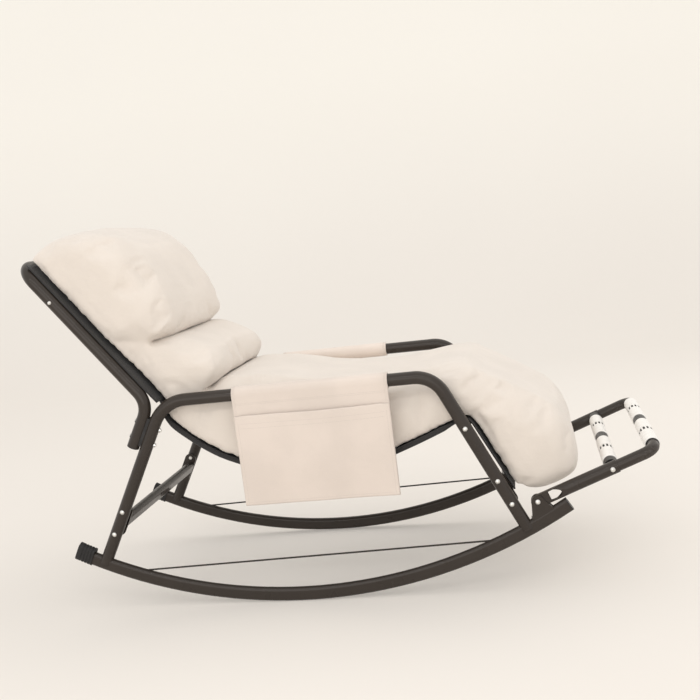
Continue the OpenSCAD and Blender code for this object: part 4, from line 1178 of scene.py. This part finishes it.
class StageSettings(PropertyGroup):
    paper_colour: setting("Paper", "Colour of floor and backdrop", (0.555, 0.525, 0.49), **COLOUR)
    # The paper's glow is painted light that lifts the shade under the chair
    paper_painted_glow: ranged("Paper glow", "How much light comes through the paper", 0.46, 0.0, 2.0)
    key_power: setting("Key light", "Power of the large light overhead", 8.0, **POWER)
    fill_power: setting("Fill light", "Power of the light beside the camera", 15.0, **POWER)
    streak_power: setting("Streak light", "Power of the light that draws lines on the tubes", 8.0, **POWER)
    room_light: ranged("Room light", "Strength of the light from all round", 1.05, 0.0, 10.0)
    lens: ranged("Lens", "Focal length of the camera", 50.0, 10.0, 200.0)


# Operators

# Floor and backdrop: how far the floor reaches, its half width, and the bend up to the wall
FLOOR_REACH = 6000.0
WALL_AT = 5000.0
WALL_TOP = 6500.0
SWEEP_R = 1800.0
SWEEP_STEPS = 24
SWEEP_HALF = 8000.0
SWEEP_COLUMNS = 9

WHITE = (1.0, 0.98, 0.96)
WARM = (1.0, 0.93, 0.86)
AIR = (1.0, 0.98, 0.955, 1.0)
SENSOR = 36.0
# The photo's view, and how far the kept pose is rocked forward from it about the rocker's centre
CAMERA_PLACE = (0.6720, -2.587, 1.0335)
CAMERA_AIM = (math.radians(80.997), 0.0, math.radians(9.688))
ROLLED = math.radians(6.5)


def dress(names, finish):
    for name in names:
        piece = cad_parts[name]
        piece.data.materials.clear()
        piece.data.materials.append(finish)


class ROCKER_OT_metalwork(Operator):
    """Finish the lacquered tubes, the tie rods and the fasteners"""

    bl_idname = "rocker.metalwork"
    bl_label = "Metalwork"

    def execute(self, context):
        s = context.scene.rocker_frame
        colour = tuple(s.lacquer_colour)
        dress(FRAME_NODES, lacquer("dark_lacquer", colour, s.lacquer_roughness))
        dress(ROD_NODES, lacquer("rod_lacquer", toned(colour, 0.8), s.lacquer_roughness + 0.12))
        dress(FASTENER_NODES, bare_metal("zinc_screw", (0.78, 0.77, 0.74), 0.22, 60.0))
        dress(AXLE_NODES, bare_metal("axle_steel", (0.72, 0.72, 0.72), 0.18, 4.0))
        return {"FINISHED"}


class ROCKER_OT_rubber(Operator):
    """Finish the ribbed boots, the strips, the plugs, the collars and the spacers"""

    bl_idname = "rocker.rubber"
    bl_label = "Rubber and plastic"

    def execute(self, context):
        colour = tuple(context.scene.rocker_frame.rubber_colour)
        dress(BOOT_NODES, moulded("boot_rubber", colour, 0.62, 700.0, 0.00006))
        dress(PLUG_NODES, moulded("collar_plastic", toned(colour, 0.9), 0.4, 420.0, 0.00003))
        return {"FINISHED"}


class ROCKER_OT_rollers(Operator):
    """Finish the four massage rollers"""

    bl_idname = "rocker.rollers"
    bl_label = "Rollers"

    def execute(self, context):
        colour = tuple(context.scene.rocker_frame.roller_colour)
        dress(FIRST_ROLLERS, roller_plastic("first_roller_plastic", colour, FIRST_AXLE))
        dress(SECOND_ROLLERS, roller_plastic("second_roller_plastic", colour, SECOND_AXLE))
        return {"FINISHED"}


class ROCKER_OT_mat(Operator):
    """Make the padded mat with its four lobes"""

    bl_idname = "rocker.mat"
    bl_label = "Mat"

    def execute(self, context):
        s = context.scene.rocker_mat
        colour = tuple(s.cloth_colour)
        make_mat(s, soft_cloth("mat_cloth", colour, toned(colour, 0.9), 0.0009, 0.0, 0.00010, 0.0016))
        return {"FINISHED"}


class ROCKER_OT_sling(Operator):
    """Make the seat sling and the back panel"""

    bl_idname = "rocker.sling"
    bl_label = "Sling"

    def execute(self, context):
        colour = tuple(context.scene.rocker_cloth.sling_colour)
        weave = sling_weave("sling_weave", colour)
        yarn = thread_yarn("sling_yarn", toned(colour, 2.0, 0.02))
        sling_cloth(weave, yarn)
        back_cloth(weave, yarn)
        return {"FINISHED"}


class ROCKER_OT_covers(Operator):
    """Make the armrest covers and the side pocket"""

    bl_idname = "rocker.covers"
    bl_label = "Armrest covers"

    def execute(self, context):
        s = context.scene.rocker_cloth
        colour = tuple(s.cover_colour)
        woven = (s.weave_pitch, ARM_TILT, 0.00014, 0.0008)
        cloth = soft_cloth("cover_cloth", colour, toned(colour, 0.88), *woven)
        yarn = thread_yarn("cover_yarn", toned(colour, 0.8))
        cover_cloth(cloth, yarn)
        pocket_cloth(cloth, yarn)
        # Painted light: the far arm's plain cover is a lit copy of the cover cloth, a tenth lighter
        plain_cloth(soft_cloth("plain_cover_cloth", toned(colour, 1.1), colour, *woven), yarn)
        return {"FINISHED"}


class ROCKER_OT_stage(Operator):
    """Set up the floor and backdrop, the lights and the camera"""

    bl_idname = "rocker.stage"
    bl_label = "Studio"

    def execute(self, context):
        s = context.scene.rocker_stage
        self.add_sweep(glowing_studio_paper("glowing_studio_paper", tuple(s.paper_colour), s.paper_painted_glow))
        world = bpy.data.worlds.new("studio_air")
        world.use_nodes = True
        air = world.node_tree.nodes["Background"]
        air.inputs["Color"].default_value = AIR
        air.inputs["Strength"].default_value = s.room_light
        context.scene.world = world
        self.add_light("key_light", s.key_power, (3.2, 2.6), (0.5, 0.9, 2.9), 0.15, WHITE)
        self.add_light("fill_light", s.fill_power, (3.0, 1.4), (-0.4, -3.0, 1.0), 0.1, WARM)
        self.add_light("streak_light", s.streak_power, (2.6, 0.08), (0.2, -2.2, 2.3), 0.1, WHITE)
        self.add_light("rim_light", s.fill_power * 0.4, (1.2, 2.0), (2.4, 1.6, 1.6), 0.4, WHITE)
        data = bpy.data.cameras.new("studio_camera")
        data.lens = s.lens
        data.sensor_width = SENSOR
        camera = bpy.data.objects.new("studio_camera", data)
        hub = Matrix.Translation((0.0, 0.0, ROCKER_R * MM))
        seen = Matrix.Translation(CAMERA_PLACE) @ Euler(CAMERA_AIM).to_matrix().to_4x4()
        camera.matrix_world = hub @ Matrix.Rotation(ROLLED, 4, "Y") @ hub.inverted() @ seen
        context.scene.collection.objects.link(camera)
        context.scene.camera = camera
        context.scene.view_settings.view_transform = "Standard"
        return {"FINISHED"}

    def add_sweep(self, paper):
        """The floor, bent up behind the chair's feet into a wall."""
        profile = [(-FLOOR_REACH, 0.0)]
        for k in range(SWEEP_STEPS + 1):
            a = math.radians(90 * k / SWEEP_STEPS)
            profile.append((WALL_AT - SWEEP_R + SWEEP_R * math.sin(a), SWEEP_R - SWEEP_R * math.cos(a)))
        profile.append((WALL_AT, WALL_TOP))
        across = np.linspace(-SWEEP_HALF, SWEEP_HALF, SWEEP_COLUMNS)
        points = [(x, y, z) for y, z in profile for x in across]
        faces = quads(len(profile), SWEEP_COLUMNS, False)
        new_piece("studio_sweep", points, faces, paper)

    def add_light(self, name, power, size, place, target_x, colour):
        """A rectangular light that points at the chair, at 0.4 m height."""
        data = bpy.data.lights.new(name, "AREA")
        data.shape = "RECTANGLE"
        data.size, data.size_y = size
        data.energy = power
        data.color = colour
        light = bpy.data.objects.new(name, data)
        light.location = place
        aim = Vector((target_x, 0.0, 0.4)) - Vector(place)
        light.rotation_euler = aim.to_track_quat("-Z", "Y").to_euler()
        bpy.context.scene.collection.objects.link(light)


STEPS = (
    ROCKER_OT_metalwork, ROCKER_OT_rubber, ROCKER_OT_rollers, ROCKER_OT_mat, ROCKER_OT_sling,
    ROCKER_OT_covers, ROCKER_OT_stage,
)


class ROCKER_PT_sidebar(Panel):
    bl_label = "Rocking lounge chair"
    bl_idname = "ROCKER_PT_sidebar"
    bl_space_type = "VIEW_3D"
    bl_region_type = "UI"
    bl_category = "Rocker"

    def draw(self, context):
        for step in STEPS:
            self.layout.operator(step.bl_idname)
        for name in GROUPS:
            box = self.layout.box()
            group = getattr(context.scene, name)
            for key in group.__annotations__:
                box.prop(group, key)


GROUPS = {
    "rocker_frame": FrameFinish,
    "rocker_mat": MatSettings,
    "rocker_cloth": ClothSettings,
    "rocker_stage": StageSettings,
}
CLASSES = (*GROUPS.values(), *STEPS, ROCKER_PT_sidebar)


def register():
    for cls in CLASSES:
        bpy.utils.register_class(cls)
    for name, group in GROUPS.items():
        setattr(bpy.types.Scene, name, PointerProperty(type=group))


def unregister():
    for name in GROUPS:
        delattr(bpy.types.Scene, name)
    for cls in reversed(CLASSES):
        bpy.utils.unregister_class(cls)


def main():
    register()
    bpy.ops.rocker.metalwork()
    bpy.ops.rocker.rubber()
    bpy.ops.rocker.rollers()
    bpy.ops.rocker.mat()
    bpy.ops.rocker.sling()
    bpy.ops.rocker.covers()
    bpy.ops.rocker.stage()


if __name__ == "__main__":
    main()
